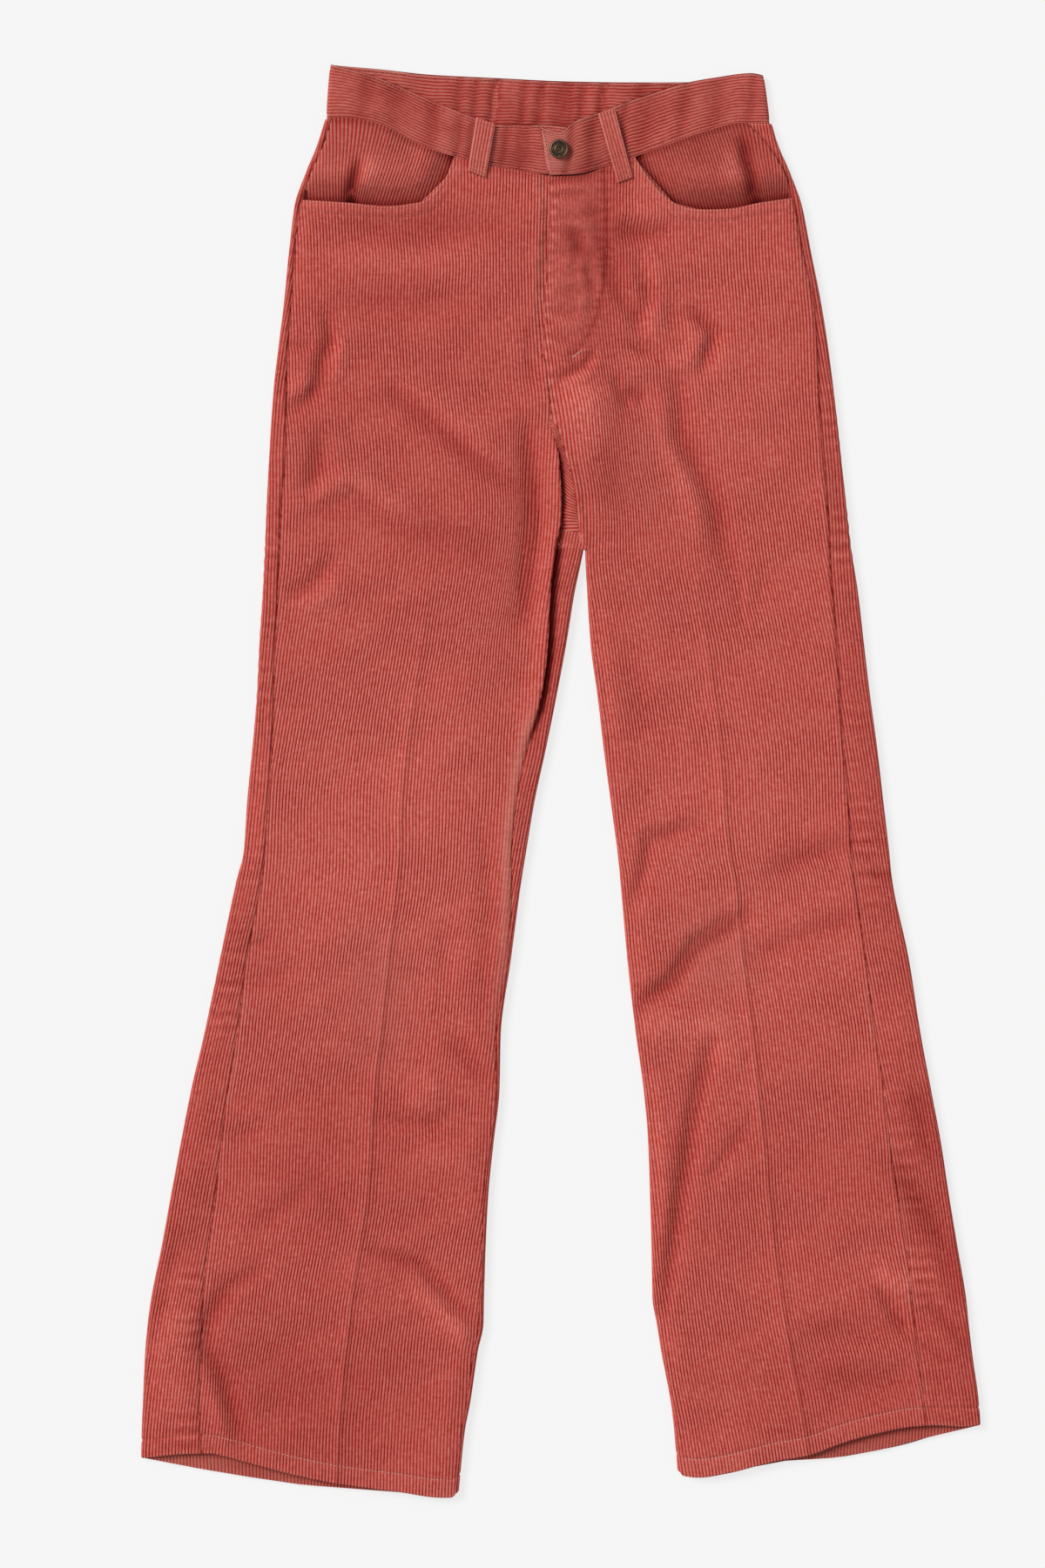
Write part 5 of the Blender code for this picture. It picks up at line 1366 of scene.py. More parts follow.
@dataclass
class PocketFacing(Panel):
    """The piece of corduroy behind a curved pocket edge."""

    wall: float = FACING_WALL
    tilt: float = 0.32
    tilt_from: float = 70             # how far down the wales cross their middle line
    middle: float = 110

    inner_rows_every = 6

    def rows(self) -> Rows:
        """The facing's rows."""
        return short_rows(30)

    def grain(self, down: Array) -> Array:
        """Straight wales, tilted with the side seam."""
        return self.sign * (self.middle + self.tilt * (np.asarray(down, float) - self.tilt_from))

    def drift(self, u: Array, down: Array) -> Array:
        """Upright again beyond the fold, beside the side seam."""
        upright = self.tilt * (down - self.tilt_from) * ease(14, 58, self.sign * u)
        return super().drift(u, down) - self.sign * upright

    def hollow(self, x: Array, down: Array) -> Array:
        """Room for the facing's own folds."""
        return np.full_like(x, 1.7)

    def upper_edge(self, w: Array, down: Array) -> Array:
        """The seam of the waistband."""
        return edge(BAND_SEAM[self.side], w) + BAND_GAP

    def lower_edge(self, w: Array, down: Array) -> Array:
        """Below the pocket edge, out of sight."""
        return np.maximum(edge(POCKET_EDGE[self.side], w) + FACING_REACH,
                          edge(BAND_SEAM[self.side], w) + 20)

    def segments(self) -> list[Segment]:
        """One stretch, from the side seam to under the front."""
        seam = shifted(partial(self.leg_line, "outseam"), -self.sign * SEAM_GAP / 2)
        stops = shares_between(seam, lambda down: np.full_like(down, FACING_INNER_X[self.side]), 8)
        return [Segment(0, stops if self.side is Side.RIGHT else stops[::-1])]

    def in_mouth(self, x: Array, down: Array) -> Array:
        """Distance from the pocket edge, above 0 in the open mouth."""
        nearest = to_polyline(x, down, POCKET_EDGE[self.side])
        open_side = (x - POCKET_INNER_END[self.side]) * self.sign > 0
        return np.where(open_side & (down < edge(POCKET_EDGE[self.side], x)), nearest, -nearest)

    def height(self, x: Array, down: Array) -> Array:
        """The facing dips under the pocket edge."""
        mouth = ease(FACING_MARGIN - 0.5, 15, self.in_mouth(x, down))
        return FACING_TOP_UNDER + (top_height(self.side, x, down) - FACING_TOP_UNDER) * mouth

    def place(self, w: Array, down: Array) -> Placed:
        """The facing lies on top."""
        return on_top(self.height, w, down)

    def relief(self, x: Array, down: Array) -> Array:
        """Painted shade and light of its folds, painted shade under the pocket edge and under the waistband,
        painted light on the bulge in the mouth, and darker all over, more on the left facing.
        """
        mouth = self.in_mouth(x, down)
        shade = -6.4 * bell(mouth, 4.8) + bell(mouth - 24, 9) - (1.4 + 0.6 * self.sign)
        under_band = -3 * bell(down - edge(BAND_SEAM[self.side], x) - 1, 3.2)
        return 1.6 * creases_at(FACING_CREASES[self.side], x, down) + shade + under_band

    def detail(self, w: Array, x: Array, down: Array) -> Array:
        """Soft folds in the pocket mouth."""
        bulge = 2.2 * bell(self.in_mouth(x, down) - 19, 9)
        folded = bulge + creases_at(FACING_CREASES[self.side], x, down) - 0.6 * bell(
            self.from_seam(w, down), 1.2)
        return np.maximum(folded, LOWEST_INNER + 1.2 - self.height(x, down))

    def masks(self, w: Array, x: Array, down: Array) -> Masks:
        """Darker and less worn than the rest."""
        return Masks(0.4 * bell(self.from_seam(w, down) - 1.5, 2), np.full_like(x, 0.5), np.zeros_like(x))


def band_low(side: Side, x: Array, angle: Array) -> Array:
    """Lower edge of the waistband; angle 0 is its front, pi its back, between them its fold."""
    front = edge(BAND_SEAM[side], x)
    back = edge(BACK_BAND_TOP, x) + BAND_HEIGHT
    return front + (back - front) * np.maximum(2 * angle / math.pi - 1, 0)


def closed_cloth(outer: Array, inner: Array) -> tuple[Array, list]:
    """Join two equal grids of points into one closed piece.

    Args:
        outer: Points of the outer face, rows by columns.
        inner: Points of the inner face.

    Returns:
        The points and the faces.
    """
    rows, columns = outer.shape[:2]
    number = np.arange(rows * columns).reshape(rows, columns)
    squares = np.stack([number[:-1, :-1], number[1:, :-1], number[1:, 1:], number[:-1, 1:]], axis=-1)
    squares = squares.reshape(-1, 4)
    faces = squares.tolist() + (squares[:, ::-1] + rows * columns).tolist()
    ring = np.concatenate([number[:, 0], number[-1, 1:], number[-2::-1, -1], number[0, -2:0:-1]])
    after = np.roll(ring, -1)
    sides = np.stack([after, ring, ring + rows * columns, after + rows * columns], axis=-1)
    return np.concatenate([outer.reshape(-1, 3), inner.reshape(-1, 3)]), faces + sides.tolist()


def wale_columns(count: int, low: float, high: float) -> Array:
    """Mesh columns of the first wales, as far as they lie between two places."""
    columns = (np.arange(count)[:, None] + np.array(WALE_STOPS)).ravel() * WALE
    return columns[(columns > low) & (columns < high)]


def make_cloth(name: str, faces_at: list[Array], material: bpy.types.Material, grain: tuple[Array, Array],
               masks: Masks, reliefs: list[Array]) -> bpy.types.Object:
    """Make a closed piece from two equal grids.

    Args:
        name: Name of the piece.
        faces_at: Points of its outer and of its inner face.
        material: Its finish.
        grain: Wale count and centimetres along the wale on the grid.
        masks: Wear on the grid.
        reliefs: Height of the creases of the outer and of the inner face, painted into the colour as shade
            and light.

    Returns:
        The object, riding on the body.
    """
    points, faces = closed_cloth(*faces_at)
    twice = [np.concatenate([part.ravel()] * 2) for part in (*grain, *masks)]
    return make_object(name, points, faces, material, np.stack(twice[:2], axis=-1), Masks(*twice[2:]),
                       np.concatenate([part.ravel() for part in reliefs]))


@dataclass
class Waistband:
    """One self-faced strip with its wales along it, lapped at the centre front, left over right."""

    node: str = "waistband"
    right_end: tuple[float, float] = (-165.8, -168.6)     # x of the folded end, at its top and bottom
    left_end: tuple[float, float] = (146, 150.4)
    underlap_end: float = 11
    overlap_end: tuple[float, float] = (-15.6, -9)
    overlap_step: tuple[float, float] = (13, 25)
    spacing: float = 1.5
    edge_row: float = 2.3                                 # rows of stitches along both edges
    back_puckers: Points = (          # x, width, depth; inside the back
        (-74, 3, 1.2), (-62, 3, 1), (-47.5, 3.8, 1.9), (-27.5, 3, 1.1), (-15, 3.2, 1.4),
        (2.5, 7, 1.4), (15, 3, 1.2), (29, 3.4, 1.5), (57, 6, 1), (75, 4, 0.6),
        (-104, 7, 0.5), (96, 7, 0.6))
    front_puckers: Points = (
        (-140, 6, 1), (-118, 9, 0.9), (-92, 6, 1), (-73, 4, 1), (-64, 3, 1.1),
        (-28, 7, 1.2), (-40, 3.5, 1.2), (6, 3, 1.2), (22, 4, 0.8), (44, 3.5, 1.2),
        (60, 8, 0.8), (88, 5, 0.9), (112, 8, 0.9), (137, 4, 0.9))

    def layout(self) -> dict[str, Array]:
        """Upright lines of the band, from the overlap's end round the back to the underlap's."""
        ends = pair(self.right_end, self.left_end)
        inner = {side: [end - side.sign * FOLD_RADIUS for end in ends[side]] for side in ends}
        angles = np.linspace(0, math.pi, 9)[1:-1]
        parts = []

        def flat(side: Side, start: tuple, end: tuple, nz: float) -> None:
            """A flat stretch between two upright lines."""
            top, low = (BAND_TOP[side], BAND_SEAM[side]) if nz > 0 else (BACK_BAND_TOP,) * 2
            share = np.linspace(0, 1, math.ceil(abs(end[0] - start[0]) / self.spacing) + 1)
            top_x, low_x = [a + share * (b - a) for a, b in zip(start, end)]
            raised = (BAND_WALL + SEAM_GAP) * ease(self.overlap_step[1], self.overlap_step[0], top_x)
            z = (nz > 0) * (2 * FOLD_RADIUS + (side is Side.LEFT) * raised)
            parts.append((top_x, low_x, edge(top, top_x), edge(low, low_x) + BAND_HEIGHT * (nz < 0), z,
                          np.zeros_like(z), np.full_like(z, nz)))

        def turn(side: Side) -> None:
            """The folded end at a side."""
            around = angles[::side.sign]
            nx, nz = side.sign * np.sin(around), np.cos(around)
            top_x, low_x = [x + FOLD_RADIUS * nx for x in inner[side]]
            parts.append((top_x, low_x, edge(BAND_TOP[side], top_x), band_low(side, low_x, around),
                          FOLD_RADIUS * (1 + nz), nx, nz))
        flat(Side.LEFT, self.overlap_end, inner[Side.LEFT], 1)
        turn(Side.LEFT)
        flat(Side.LEFT, inner[Side.LEFT], inner[Side.RIGHT], -1)
        turn(Side.RIGHT)
        flat(Side.RIGHT, inner[Side.RIGHT], (self.underlap_end,) * 2, 1)
        names = ("top_x", "low_x", "top_down", "low_down", "z", "nx", "nz")
        return {name: np.concatenate(values) for name, values in zip(names, zip(*parts))}

    def drawn(self, across: Array, x: Array, inner: bool) -> Array:
        """Depth of the puckers that the seams draw up."""
        lean = 0.14 * (across - BAND_HEIGHT / 2) + 0.5 * np.sin(across / 5)
        return sum(deep * bell(x + lean - at, width)
                   for at, width, deep in (self.back_puckers if inner else self.front_puckers))

    def recess(self, across: Array, x: Array, run: Array, from_end: Array, inner: bool) -> Array:
        """How far the surface lies under the solid's: edges, stitches and puckers, ribs left out."""
        to_edge = np.minimum(across, BAND_HEIGHT - across)
        depth = -rolled_edge(to_edge, 1.25) - rolled_edge(from_end, 1.25)
        depth -= sewn_line(to_edge - self.edge_row, 0.4) + sewn_line(from_end - self.edge_row, 0.35)
        beat = np.sin(math.tau * run / 17 + 2.2 * np.sin(run / 29)) + 0.5 * np.sin(run / 4.1)
        bowed = 0.45 * np.abs(2 * across / BAND_HEIGHT - 1) ** 3
        shape = np.sin(math.pi * across / BAND_HEIGHT) ** 0.35
        hollow = (0.16 * np.maximum(beat, 0) + self.drawn(across, x, inner)) * shape
        return np.minimum(depth + bowed + hollow, BAND_WALL - 0.4)

    def build(self, material: bpy.types.Material, threads: "Threads") -> bpy.types.Object:
        """Make the band and sew its edges.

        Args:
            material: Its finish.
            threads: Where its rows of stitches go.

        Returns:
            The band, standing for its solid.
        """
        lines = self.layout()
        columns = wale_columns(17, 0.1 * WALE, BAND_HEIGHT - 0.2)
        across = np.concatenate([[0, 0.35], columns, [BAND_HEIGHT - 0.1, BAND_HEIGHT]])
        share = (across / BAND_HEIGHT)[:, None]
        x = lines["top_x"] + share * (lines["low_x"] - lines["top_x"])
        down = lines["top_down"] + share * (lines["low_down"] - lines["top_down"])
        run_at = np.concatenate([[0], np.cumsum(np.hypot(np.diff(x[20]), np.diff(lines["z"])))])
        run, across = np.meshgrid(run_at, across)
        from_end = np.minimum(run, run_at[-1] - run)
        drawn = [self.drawn(across, x, inner) for inner in (False, True)]
        loose = 1 - (2 * across / BAND_HEIGHT - 1) ** 2
        wale = across / WALE + 0.22 * wander(run, across, 7) - 0.2 * (drawn[1] + drawn[0]) * loose
        wale = wale + 0.2 * wander(4 * run, 2 * across, 5) * (0.3 + 0.7 * loose)
        flat = np.maximum(0.7 * ease(34, 14, run),
                          0.3 * ease(-0.3, 0.9, wander(1.9 * run, 1.6 * across, 2)))
        ribs = WALE_DEPTH * groove_at(wale) * (1 - 0.75 * flat) * (1 - 0.6 * np.abs(lines["nx"]))
        faces_at = []
        for inner in (False, True):
            depth = self.recess(across, x, run, from_end, inner) + ribs
            offset = -BAND_WALL + depth if inner else -depth
            faces_at.append(np.stack([x + offset * lines["nx"], LENGTH / 2 - down,
                                      np.maximum(lines["z"] + offset * lines["nz"], 0)], axis=-1))
        # Painted shade in the puckers that the seams draw up, and uneven paler and darker patches along the
        # band. The outer face is a little darker all over; the inner face, which shows inside the back, is
        # darker all over and has painted shade over its lower part and at its lower edge, beside the front of
        # the band.
        reliefs = [-2.6 * deep + wander(run, 2 * across, 4) for deep in drawn]
        reliefs[0] -= 0.3
        reliefs[1] += -1.6 * ease(22, 36, across) - 0.6 - 3 * bell(across - BAND_HEIGHT, 3)
        to_edge = np.minimum(across, BAND_HEIGHT - across)
        worn = np.maximum.reduce([0.95 * bell(to_edge, 2), 0.8 * bell(from_end, 2.2), 0.3 * flat])
        masks = Masks(worn * rubbed(run, across, 9), 0.45 + 0.3 * ease(60, 20, run), flat)
        thing = make_cloth(self.node, faces_at, material, (wale, run / 10), masks, reliefs)
        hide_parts(self.node)
        self.sew(threads, lines, run_at)
        return thing

    def sew(self, threads: "Threads", lines: dict[str, Array], run: Array) -> None:
        """Rows of stitches along both edges, inside the back, and down the overlap's end."""
        def row(across: float, first: int, last: int, inner: bool) -> None:
            """One row of stitches, a distance below the band's upper edge."""
            at = {name: values[first:last] for name, values in lines.items()}
            share, part = across / BAND_HEIGHT, run[first:last]
            x = at["top_x"] + share * (at["low_x"] - at["top_x"])
            down = at["top_down"] + share * (at["low_down"] - at["top_down"])
            along = np.maximum(np.minimum(part, run[-1] - part), 0)
            depth = self.recess(np.full_like(part, across), x, part, along, inner)
            offset = -BAND_WALL + depth if inner else -depth
            threads.row(np.stack([x + offset * at["nx"], down, at["z"] + offset * at["nz"]], axis=-1))
        back = np.flatnonzero(lines["nz"] < -0.99)
        rows = (self.edge_row, BAND_HEIGHT - self.edge_row)
        for across in rows:
            row(across, 1, back[0] - 3, False)
            row(across, back[-1] + 3, len(run) - 1, False)
        for across in rows:
            row(across, back[0], back[-1], True)
        ends = [np.array((x + self.edge_row, lines[name][1]))
                for x, name in zip(self.overlap_end, ("top_down", "low_down"))]
        path = ends[0] + np.linspace(0.06, 0.94, 24)[:, None] * (ends[1] - ends[0])
        threads.row(np.column_stack([path, np.full(len(path), lines["z"][0] - 0.35)]), bright=True)


@dataclass
class BeltLoop:
    """A narrow strip of corduroy, sewn down at both ends."""

    node: str
    corners: Points                   # left and right at the top, then at the bottom
    seat: float = 7.2
    arch: float = 0.6
    tack: float = 2.6                 # how far the bartacks are from the ends
    roll: float = 0.85

    def build(self, material: bpy.types.Material, threads: "Threads") -> bpy.types.Object:
        """Make the loop and its bartacks.

        Args:
            material: Its finish.
            threads: Where its bartacks go.

        Returns:
            The loop, standing for its solid.
        """
        left_top, right_top, left_low, right_low = [np.array(corner) for corner in self.corners]
        width, length = np.linalg.norm(right_top - left_top), np.linalg.norm(left_low - left_top)
        columns = np.concatenate([[0, 0.3], wale_columns(6, 0.4, width - 0.4), [width - 0.3, width]])
        rows = np.concatenate([[0, 0.3, 0.8], np.arange(1.6, length - 1.6, 1.1),
                               [length - 0.8, length - 0.3, length]])
        across, along = np.meshgrid(columns, rows)
        side_share, down_share = across[..., None] / width, along[..., None] / length
        flat = ((left_top + side_share * (right_top - left_top)) * (1 - down_share)
                + (left_low + side_share * (right_low - left_low)) * down_share)
        flat[..., 1] = LENGTH / 2 - flat[..., 1]
        to_side, to_end = np.minimum(across, width - across), np.minimum(along, length - along)
        wale = across / WALE + 0.1 * wander(3 * along, across, 3)
        rolled = -rolled_edge(to_side, self.roll) - rolled_edge(to_end, self.roll)
        depth = WALE_DEPTH * groove_at(wale) + rolled
        depth = np.minimum(depth - sewn_line(to_end - self.tack, 0.6, 1.3), LOOP_WALL / 2 - 0.05)
        base = self.seat + self.arch * np.sin(math.pi * along / length)
        faces_at = [np.concatenate([flat, height[..., None]], axis=-1)
                    for height in (base + LOOP_WALL - depth, base + np.minimum(rolled, 0.8))]
        worn = np.maximum(bell(to_side, 1.8), 0.6 * bell(to_end - self.tack, 1.6))
        thing = make_cloth(self.node, faces_at, material, (wale, along / 10 + 3),
                           Masks(worn, np.full_like(worn, 0.3), np.full_like(worn, 0.35)),
                           [np.zeros_like(worn)] * 2)
        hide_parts(self.node)
        for share in (self.tack / length, 1 - self.tack / length):
            ends = [top + share * (low - top) for top, low in ((left_top, left_low), (right_top, right_low))]
            path = ends[0] + np.linspace(0.08, 0.92, 17)[:, None] * (ends[1] - ends[0])
            path[::2, 1] += 0.7
            height = np.full(len(path), self.seat + LOOP_WALL - 0.35)
            threads.chain(np.column_stack([path, height]))
        return thing


class Threads:
    """All the sewing thread that shows, gathered into one piece."""

    sides = 5
    radius = 0.25
    stitch = 2.3                  # length of one
    gap = 0.9                     # from one to the next
    rings = ((-1, 0.35), (-0.7, 1), (0.7, 1), (1, 0.35))             # along the stitch, and how thick

    def __init__(self) -> None:
        """Start with no stitches."""
        self.plain: list[tuple[Array, Array]] = []
        self.bright: list[tuple[Array, Array]] = []

    def row(self, path: Array, bright: bool = False, sunk: float = -1) -> None:
        """Lay single stitches end to end along a path.

        Args:
            path: Points as (x, down, height).
            bright: Whether the thread is the lighter one.
            sunk: How many of them are lost in the pile, from -1 for none to 1 for all.
        """
        steps = np.concatenate([[0], np.cumsum(np.linalg.norm(np.diff(path, axis=0), axis=1))])
        pitch = self.stitch + self.gap
        starts = np.arange(0.4, steps[-1] - self.stitch, pitch)
        for start in starts[np.sin(starts * 2.3) * np.cos(starts / 4.7) > sunk]:
            ends = [np.array([np.interp(at, steps, path[:, axis]) for axis in range(3)])
                    for at in (start, start + self.stitch)]
            (self.bright if bright else self.plain).append((ends[0], ends[1]))

    def chain(self, path: Array, bright: bool = False) -> None:
        """Lay one stitch between each two points of a zigzag."""
        (self.bright if bright else self.plain).extend(zip(path[:-1], path[1:]))

    def build(self, name: str, stitches: list, material: bpy.types.Material) -> bpy.types.Object:
        """Make one object with every stitch.

        Args:
            name: Name of the piece.
            stitches: Their ends.
            material: The thread.

        Returns:
            The object.
        """
        count = self.sides
        angles = (np.arange(count) * math.tau / count)[:, None]
        points, faces = [], []
        for start, end in stitches:
            start, end = [np.array((at[0], LENGTH / 2 - at[1], at[2])) for at in (start, end)]
            middle, half = (start + end) / 2, (end - start) / 2
            ahead = half / max(np.linalg.norm(half), 1e-6)
            across = np.cross(ahead, (0, 0, 1))
            across /= np.linalg.norm(across)
            up = np.cross(across, ahead)
            base = len(points) * count
            for along, thick in self.rings:
                sag = 0.12 * (along * along - 0.5)
                points.append(middle + along * half - sag * up
                              + self.radius * thick * (np.cos(angles) * across + np.sin(angles) * up))
            last = base + (len(self.rings) - 1) * count
            for low in range(base, last, count):
                for side in range(count):
                    a, b = low + side, low + (side + 1) % count
                    faces.append((a, b, b + count, a + count))
            faces += [tuple(range(base, base + count))[::-1], tuple(range(last, last + count))]
        thing = make_object(name, np.concatenate(points), faces, material)
        return thing


PATH_STEP = 1.5               # between the points of a row of stitches


def along_edge(points: Points, aside: float, toward: tuple[float, float]) -> Array:
    """A smooth path, as (x, down), beside a chain of points.

    Args:
        points: The chain.
        aside: How far beside it.
        toward: Rough direction of that side.

    Returns:
        The path.
    """
    chain = np.array(points, float)
    steps = np.concatenate([[0], np.cumsum(np.linalg.norm(np.diff(chain, axis=0), axis=1))])
    at = np.arange(0, steps[-1], PATH_STEP)
    path = np.stack([smooth(steps, chain[:, axis], at) for axis in (0, 1)], axis=-1)
    ahead = np.gradient(path, axis=0)
    normal = np.stack([-ahead[:, 1], ahead[:, 0]], axis=-1)
    normal /= np.linalg.norm(normal, axis=1)[:, None]
    normal *= np.where(normal @ np.array(toward) < 0, -1, 1)[:, None]
    return path + aside * normal


def sew_panel(threads: Threads, panel: Panel, path: Array, lift: float = 0.02, sunk: float = -1,
              bright: bool = False) -> None:
    """Lay a row of stitches on a panel.

    Args:
        threads: Where the stitches go.
        panel: What they are sewn on.
        path: The row, as (x, down), on top.
        lift: How far above the panel's valley the thread lies.
        sunk: How many stitches are lost in the pile, from -1 for none to 1 for all.
        bright: Whether the thread is the lighter one.
    """
    height = panel.surface(path[:, 0], path[:, 1])[1]
    threads.row(np.column_stack([path, height + lift]), bright, sunk)


HEM_ROWS = pair((-256, -82), (88, 262))              # x of the ends of a hem's row of stitches


def sew_fronts(threads: Threads, fronts: dict[Side, FrontPanel]) -> None:
    """Every row of stitches of the two fronts."""
    for side, panel in fronts.items():
        for row in POCKET_ROWS:
            path = along_edge(POCKET_EDGE[side], row, (-side.sign, 1))
            inside = (path[:, 0] - line(side, "outseam", path[:, 1])) * side.sign < -2.5
            sew_panel(threads, panel, path[inside])
        x = np.arange(*HEM_ROWS[side], PATH_STEP)
        sew_panel(threads, panel, np.column_stack([x, edge(FRONT_HEM[side], x) - HEM_HEIGHT]), bright=True)
    fly = fronts[Side.LEFT]
    down = np.arange(*FLY_ROW, PATH_STEP)
    sew_panel(threads, fly, np.column_stack([rise_line(down) + EDGE_ROW, down]), -0.05, 0.25)
    sew_panel(threads, fly, along_edge(FLY_STITCH, 0, (1, 0)), -0.1, 0.3)
    steps = np.arange(13)
    tack = np.column_stack([FLY_BARTACK[0] + 0.6 * steps, FLY_BARTACK[1] - 0.42 * steps + 2.1 * (steps % 2)])
    threads.chain(np.column_stack([tack, fly.surface(tack[:, 0], tack[:, 1])[1] - 0.05]), bright=True)


@dataclass
class Gather:
    """Cloth gathered at the fork: twisted ribs between the rise seam and the left leg, or the top of
    the strip of the right back that comes up to them."""

    name: str
    down: tuple[float, float]
    rib: Field                        # rib count
    left: Line
    right: Line
    lift: Points                      # share of the width, height over the base
    bulge: float = 0
    bulge_at: tuple[float, float] = (4, 322.5)
    drop: float = 1.3                 # at the lower edge
    base: Field = left_front_height
    step: float = 0.42
    widest: float = 18                # width that the columns are spaced for

    def build(self, material: bpy.types.Material) -> bpy.types.Object:
        """Make the piece.

        Args:
            material: Its finish.

        Returns:
            The piece, lying in the fork.
        """
        first, last = self.down
        down_at = np.linspace(first, last, math.ceil((last - first) / self.step) + 1)
        share_at = np.linspace(0, 1, math.ceil(self.widest / self.step) + 1)
        down, share = np.meshgrid(down_at, share_at, indexing="ij")
        width = self.right(down) - self.left(down)
        x = self.left(down) + share * width
        wide = ease(0.5, 9, width)
        rib = self.rib(x, down)
        rise = edge(self.lift, share) * wide - (0.42 + 0.16 * self.drop) * groove_at(rib, 0.2)
        rise += self.bulge * bell(np.hypot(x - self.bulge_at[0], down - self.bulge_at[1]), 5)
        rise += 0.35 * pucker(down * 1.3, 1) * bell(share - 0.12, 0.2) * wide
        rise -= self.drop * ease(2.2, 0, last - down) ** 2 + 0.8 * ease(3, 0, down - first)
        rise -= 0.7 * ease(1.2, 0, last - down) * (self.drop == 0)
        height = self.base(x, down) + rise
        # Painted shade in the groove under the right front's rolled edge beside the rise seam, and along the
        # lower edge of the gathered cloth
        relief = -9 * bell(x - edge(RISE_LINE, down), 3.4) * groove_window(down)
        relief -= 3 * bell(last - down, 1.2) * (self.drop > 0)
        faces_at = [np.stack([x, LENGTH / 2 - down, z], axis=-1)
                    for z in (height, np.minimum(height - 0.5, height.min() + 0.6))]
        worn = 0.3 * bell(share - 0.1, 0.2) + 0.4 * self.drop * bell(last - down - 0.6, 1.6)
        thing = make_cloth(self.name, faces_at, material, (rib, down / 10),
                           Masks(worn, np.full_like(worn, 0.1), np.zeros_like(worn)), [relief] * 2)
        return thing


def fork_pieces(back: BackPanel) -> tuple[Gather, Gather]:
    """The gathered cloth at the fork, and the strip of the right back below it."""
    lean = ((256, 1.5), (280, 1.35), (300, 1.1), (312, 0.75), (322, 0.3), (330, 0), (336, -0.05))

    def twisted(x: Array, down: Array) -> Array:
        """Ribs that lean along the seam and turn level at its end."""
        return (down - edge(lean, down) * (x - edge(RISE_LINE, down))) / 2.75

    def strip(x: Array, down: Array) -> Array:
        """Ribs of the strip of the right back, which go straight on upwards."""
        leg = np.maximum(down, FORK_FIRST_WRAP)
        inner = back.inner_top(leg)
        return back.u_of(back.under_w(inner, leg) - HALF_TURN - inner + x - 0.2 * (leg - down), leg) / WALE

    def seat(x: Array, down: Array) -> Array:
        """What the strip lies on: the left front, and the strip of the leg below."""
        leg, front = right_back_height(x, np.maximum(down, FORK_FIRST_WRAP)), left_front_height(x, down)
        return np.maximum(front, leg) + np.minimum(leg - front, 0) * ease(342, 346, down)

    def strip_end(down: Array) -> Array:
        """The left leg's fold, over which the strip's upper corner reaches."""
        return fork_line(down) - 0.3 + 4.4 * ease(342, 344.6, down)
    start = shifted(rise_line, -0.3)
    return (Gather("fork_gather", (257, 336.4), twisted, start, fork_line,
                   ((0, -0.6), (0.22, 1), (0.6, 1.9), (0.88, 1), (1, -0.9)), bulge=1.5),
            Gather("fork_strip", (333.5, 348), strip, start, strip_end,
                   ((0, 0.1), (0.3, 0.25), (0.7, 0.25), (1, 0)), drop=0, base=seat))


@dataclass
class TackButton:
    """A tack button with a rolled rim and rings."""

    node: str = "button"
    x: float = -1.3
    down: float = 61.3
    seat: float = 9.65
    sides: int = 72
    outline: Points = (
        (0, 0.05), (5.2, 0.05), (6, 0.12), (6.5, 0.4), (6.82, 0.9), (6.9, 1.35), (6.8, 1.8),
        (6.5, 2.25), (6.1, 2.5), (5.75, 2.52), (5.4, 2.36), (5.2, 2.06), (5.1, 1.96), (4.7, 1.94),
        (4.5, 2), (4.3, 2.06), (4.1, 2), (3.9, 1.93), (3.5, 1.95), (3.2, 2.12), (2.95, 2.3),
        (2.6, 2.34), (2.3, 2.2), (2.1, 2), (1.6, 1.96), (0.9, 2.02), (0, 2.04))

    def build(self, material: bpy.types.Material) -> bpy.types.Object:
        """Turn the button.

        Args:
            material: Its finish.

        Returns:
            The button, standing for its solid.
        """
        count = self.sides
        angles = np.arange(count) * math.tau / count
        middle = np.array((self.x, LENGTH / 2 - self.down, self.seat))
        rings = [middle + np.stack([radius * np.cos(angles), radius * np.sin(angles),
                                    np.full_like(angles, height)], axis=-1)
                 for radius, height in self.outline[1:-1]]
        points = np.concatenate(rings + [middle[None] + (0, 0, self.outline[end][1]) for end in (0, -1)])
        last = len(rings) * count
        faces = []
        for side in range(count):
            after = (side + 1) % count
            faces += [(low + side, low + after, low + count + after, low + count + side)
                      for low in range(0, last - count, count)]
            faces += [(last, after, side), (last + 1, last - count + side, last - count + after)]
        thing = make_object(self.node, points, faces, material)
        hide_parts(self.node)
        return thing


def linear(colour: str) -> tuple[float, float, float, float]:
    """Turn an sRGB hex colour to linear, with alpha 1."""
    parts = [int(colour[start:start + 2], 16) / 255 for start in (1, 3, 5)]
    return (*(part / 12.92 if part <= 0.04045 else ((part + 0.055) / 1.055) ** 2.4 for part in parts), 1)


def new_material(name: str) -> tuple[bpy.types.Material, bpy.types.Node]:
    """Make a material and return it with its empty Principled shader."""
    material = bpy.data.materials.new(name)
    material.use_nodes = True
    return material, material.node_tree.nodes["Principled BSDF"]


def set_inputs(node: bpy.types.Node, inputs: dict | tuple) -> None:
    """Set or link the inputs of a node, by name or number, or in order."""
    for name, value in inputs.items() if isinstance(inputs, dict) else enumerate(inputs):
        if isinstance(value, bpy.types.NodeSocket):
            node.id_data.links.new(value, node.inputs[name])
        else:
            node.inputs[name].default_value = value


